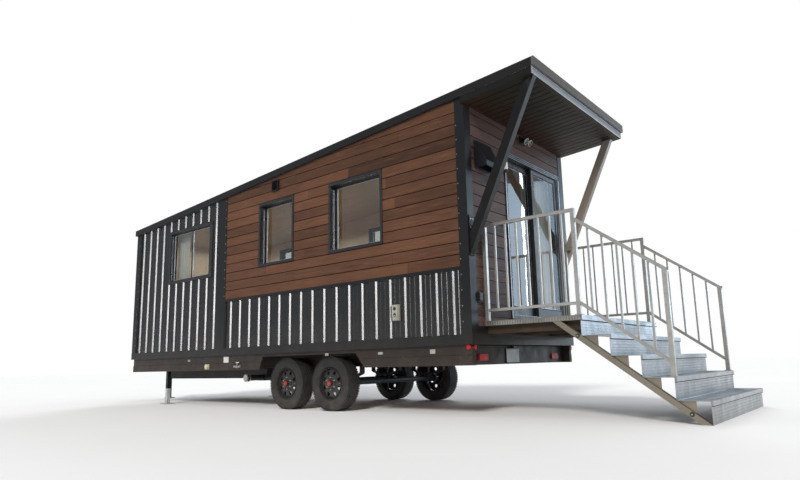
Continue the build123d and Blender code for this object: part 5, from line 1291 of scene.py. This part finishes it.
def hitch_details():
    """Latch lever on the coupler, and the front jack's head, crank and screw rings."""
    parts = Shapes()
    low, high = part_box("coupler")
    jack_low, jack_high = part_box("tongue_jack")
    x, z = low.x + 0.150, high.z
    parts.box(x - 0.045, x + 0.055, -0.012, 0.012, z - 0.002, z + 0.022)
    lever = ((-0.050, 0.018), (0.070, 0.032), (0.070, 0.040), (-0.050, 0.026))
    parts.prism([(x + along, -0.016, z + up) for along, up in lever], (0, 0.032, 0))
    jack, top = (jack_low.x + jack_high.x) / 2 - 0.0075, jack_high.z
    parts.turned([(0.036, -0.010), (0.036, 0.004), (0.024, 0.010), (0, 0.011)], (jack, 0, top - 0.004), Z, 28)
    elbow = (jack, 0.130, top - 0.055)
    parts.rod((jack, 0, top - 0.055), elbow, 0.007)
    parts.rod(elbow, (jack, 0.150, top - 0.145), 0.007)
    grip = [(0.011, 0), (0.013, 0.010), (0.013, 0.060), (0.009, 0.066), (0, 0.067)]
    parts.turned(grip, (jack, 0.148, top - 0.150), Y, 16)
    thread = [(0.0325, 0), (0.0345, 0.002), (0.0345, 0.004), (0.0325, 0.006)]
    for k in range(9):
        parts.turned(thread, (jack, 0, 0.30 + 0.045 * k), Z, 24)
    parts.build("coupler_latch_and_crank", STEEL, "jack_steel", bevel=0.001)


# Curtains: pleated cloth on rings, pushed along its rod
def curtain(name, start, end, top, bottom, folds, seed):
    """Cloth from start to end along its rod; the folds deepen and wander toward the hem."""
    rng = random.Random(seed)
    turn = 2 * math.pi
    turns = [rng.uniform(0, turn) for _ in range(4)]
    start, along = Vector(start), Vector(end) - Vector(start)
    width = along.length
    along.normalize()
    out = Vector((-along.y, along.x, 0))
    columns, rows = folds * FOLD_COLUMNS, CLOTH_ROWS
    points = []
    for j in range(rows + 1):
        v = j / rows
        for i in range(columns + 1):
            u = i / columns
            drift = 0.30 * v * math.sin(turn * 1.3 * u + turns[0])
            drift += 0.10 * math.sin(turn * 2.7 * u + turns[1])
            phase = turn * folds * u + 2 * drift
            swell = (0.62 + 0.30 * v) * (0.82 + 0.18 * math.sin(turn * 1.7 * u + turns[2] + 1.2 * v))
            wave = math.sin(phase) + 0.16 * math.sin(2 * phase + turns[3])
            place = start + along * (width * u) + out * (CURTAIN_DEPTH / 2 * swell * wave / 1.16)
            points.append((place.x, place.y, top + (bottom - top) * v))
    faces = []
    for j in range(rows):
        for i in range(columns):
            a, b = j * (columns + 1) + i, (j + 1) * (columns + 1) + i
            faces.append((a, a + 1, b + 1, b))
    shapes, rings = Shapes(), Shapes()
    shapes.solid(points, faces)
    piece = shapes.build(name, CLOTH, "curtain_cloth", replaces=["curtains"], smooth=75)
    angles = [math.pi / 3 * n for n in range(6)]
    wire = [(0.0160 + 0.0015 * math.cos(a), 0.0015 * math.sin(a)) for a in angles]
    for k in range(folds + 1):
        centre = start + along * (width * k / folds)
        rings.turned(wire, (centre.x, centre.y, top + 0.0103), along, 24, True)
    held = rings.build(f"{name}_rings", ROD, "curtain_rod")


def curtains():
    low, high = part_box("curtains")
    x = high.x - 0.030
    start, end = (x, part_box("patio_door_fixed_panel")[0].y + 0.035, 0), (x, DOOR_HIGH.y - 0.020, 0)
    curtain("door_curtain", start, end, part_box("curtain_rails")[1].z - 0.020, low.z, 8, 3)
    x0, x1 = window_span(WINDOW_A)
    y = low.y + 0.030
    start, end = (x0 - 0.022, y, 0), (x0 + 0.27 * (x1 - x0) - 0.008, y, 0)
    curtain("window_curtain", start, end, WINDOW_A[3] + 0.035, WINDOW_A[2] - 0.034, 6, 5)


for make in (
    metal_sides, boards, membrane, wheels, screws, outlet_box, side_vent, end_outlet, lantern, floodlight,
    window_details, door_details, canopy_lines, hood_details, tread_diamonds, deck_edge, step_trims,
    stair_hardware, brace_bolts, trailer_fittings, lamp_bases, axle_details, hitch_details, curtains,
):
    make()


# Stage, light and camera
def stage():
    half = 90.0
    mesh = bpy.data.meshes.new("studio_floor")
    corners = [(-half, -half, 0), (half, -half, 0), (half, half, 0), (-half, half, 0)]
    mesh.from_pydata(corners, [], [(0, 1, 2, 3)])
    made = Finish("studio_floor", (0.97, 0.97, 0.97), 0.9, specular=0.1)
    mesh.materials.append(made.mottle(0.5, 0.01).done())
    floor = place_new("studio_floor", mesh)
    floor.location.z = -0.001


def world():
    """White to the camera, pale sky to mirrors, and a soft fill on everything else."""
    made = bpy.data.worlds.new("studio")
    bpy.context.scene.world = made
    made.use_nodes = True
    tree = made.node_tree
    tree.nodes.clear()
    through = add_node(tree, "Background", {"Color": (0.93, 0.96, 1.0, 1), "Strength": 0.55})
    for ray, colour, strength in (
        ("Is Glossy Ray", (0.80, 0.88, 1.0, 1), 0.34),
        ("Is Camera Ray", (1, 1, 1, 1), 1.0),
        ("Is Transmission Ray", (1, 1, 1, 1), 1.0),
    ):
        seen = add_node(tree, "Background", {"Color": colour, "Strength": strength})
        share = add_node(tree, "LightPath", output=ray)
        through = add_node(tree, "MixShader", {0: share, 1: through, 2: seen})
    add_node(tree, "OutputWorld", {"Surface": through})


def sun(name, way, strength, angle, colour):
    """A soft distant lamp; way points from the house toward it."""
    light = bpy.data.lights.new(name, "SUN")
    light.energy, light.angle, light.color = strength, math.radians(angle), colour
    lamp = place_new(name, light)
    lamp.rotation_euler = Vector(way).to_track_quat("Z", "Y").to_euler()
    return lamp


def softbox(name, place, aim, wide, high, radiance, colour):
    """A panel lamp seen only as a reflection, turned toward aim."""
    light = bpy.data.lights.new(name, "AREA")
    light.shape = "RECTANGLE"
    light.size, light.size_y = wide, high
    light.energy, light.color = radiance * math.pi * wide * high, colour
    lamp = place_new(name, light)
    lamp.location = place
    lamp.rotation_euler = (Vector(place) - Vector(aim)).to_track_quat("Z", "Y").to_euler()
    lamp.visible_diffuse = lamp.visible_camera = False
    return lamp


def streak(lamp, across, up, low, high):
    """Varies a panel's light in tall streaks, as gaps between trees would."""
    lamp.data.use_nodes = True
    tree = lamp.data.node_tree
    place = add_node(tree, "NewGeometry", output="Parametric")
    stretched = add_node(tree, "Mapping", {"Vector": place, "Scale": (across, up, 1)})
    noise = add_node(tree, "TexNoise", {"Vector": stretched, "Scale": 1.0, "Detail": 1.0})
    tree.links.new(add_range(tree, noise, 0.4, 0.6, low, high), tree.nodes["Emission"].inputs["Strength"])


def shine_only_on(lamp, *names):
    """Keeps a lamp's reflection on the pieces named."""
    lit = bpy.data.collections.new(f"{lamp.name}_lit")
    for name in names:
        lit.objects.link(bpy.data.objects[name])
    lamp.light_linking.receiver_collection = lit


def camera():
    yaw, pitch, roll = (math.radians(a) for a in CAMERA_TURN)
    ahead = Vector((-math.sin(yaw) * math.cos(pitch), math.cos(yaw) * math.cos(pitch), math.sin(pitch)))
    level = Vector((math.cos(yaw), math.sin(yaw), 0))
    up = level.cross(ahead)
    right = level * math.cos(roll) + up * math.sin(roll)
    top = up * math.cos(roll) - level * math.sin(roll)
    data = bpy.data.cameras.new("camera")
    data.lens, data.sensor_width = CAMERA_LENS, CAMERA_SENSOR
    data.shift_x, data.shift_y = CAMERA_SHIFT
    data.clip_start, data.clip_end = 0.05, 300
    made = place_new("camera", data)
    made.matrix_world = Matrix.Translation(CAMERA_PLACE) @ Matrix((right, top, -ahead)).transposed().to_4x4()
    bpy.context.scene.camera = made


stage()
world()
sun("key_light", (0.42, -0.90, 0.62), 2.3, 14, (1.0, 0.96, 0.90)).visible_glossy = False
sun("back_light", (-0.5, 0.8, 0.6), 0.8, 25, (0.95, 0.97, 1.0))
rib_light = softbox("rib_light", (9.5, -12.0, 4.0), (0.0, -1.2, 2.2), 14.5, 6.5, 20.0, (1.0, 0.99, 0.98))
streak(rib_light, 24.0, 5.0, 0.12, 1.5)
shine_only_on(rib_light, "ribbed_sheet_near", "window_spacers")
softbox("end_light", (11.0, 13.0, 4.2), (3.2, 0.0, 2.2), 9.0, 6.0, 2.5, (0.62, 0.82, 1.0))
softbox("strip_light", (7.6, 8.6, 4.0), (3.1, 0.0, 2.2), 0.07, 9.0, 9.0, (1.0, 1.0, 0.98))
# A soft panel under the ceiling, hidden from the camera and from mirrors
room_light = softbox("room_light", (-0.8, 0.0, 2.90), (-0.8, 0.0, 0.0), 6.0, 1.4, 2.5, (1.0, 0.94, 0.85))
room_light.visible_diffuse, room_light.visible_glossy = True, False
camera()
bpy.context.scene.view_settings.view_transform = "Standard"
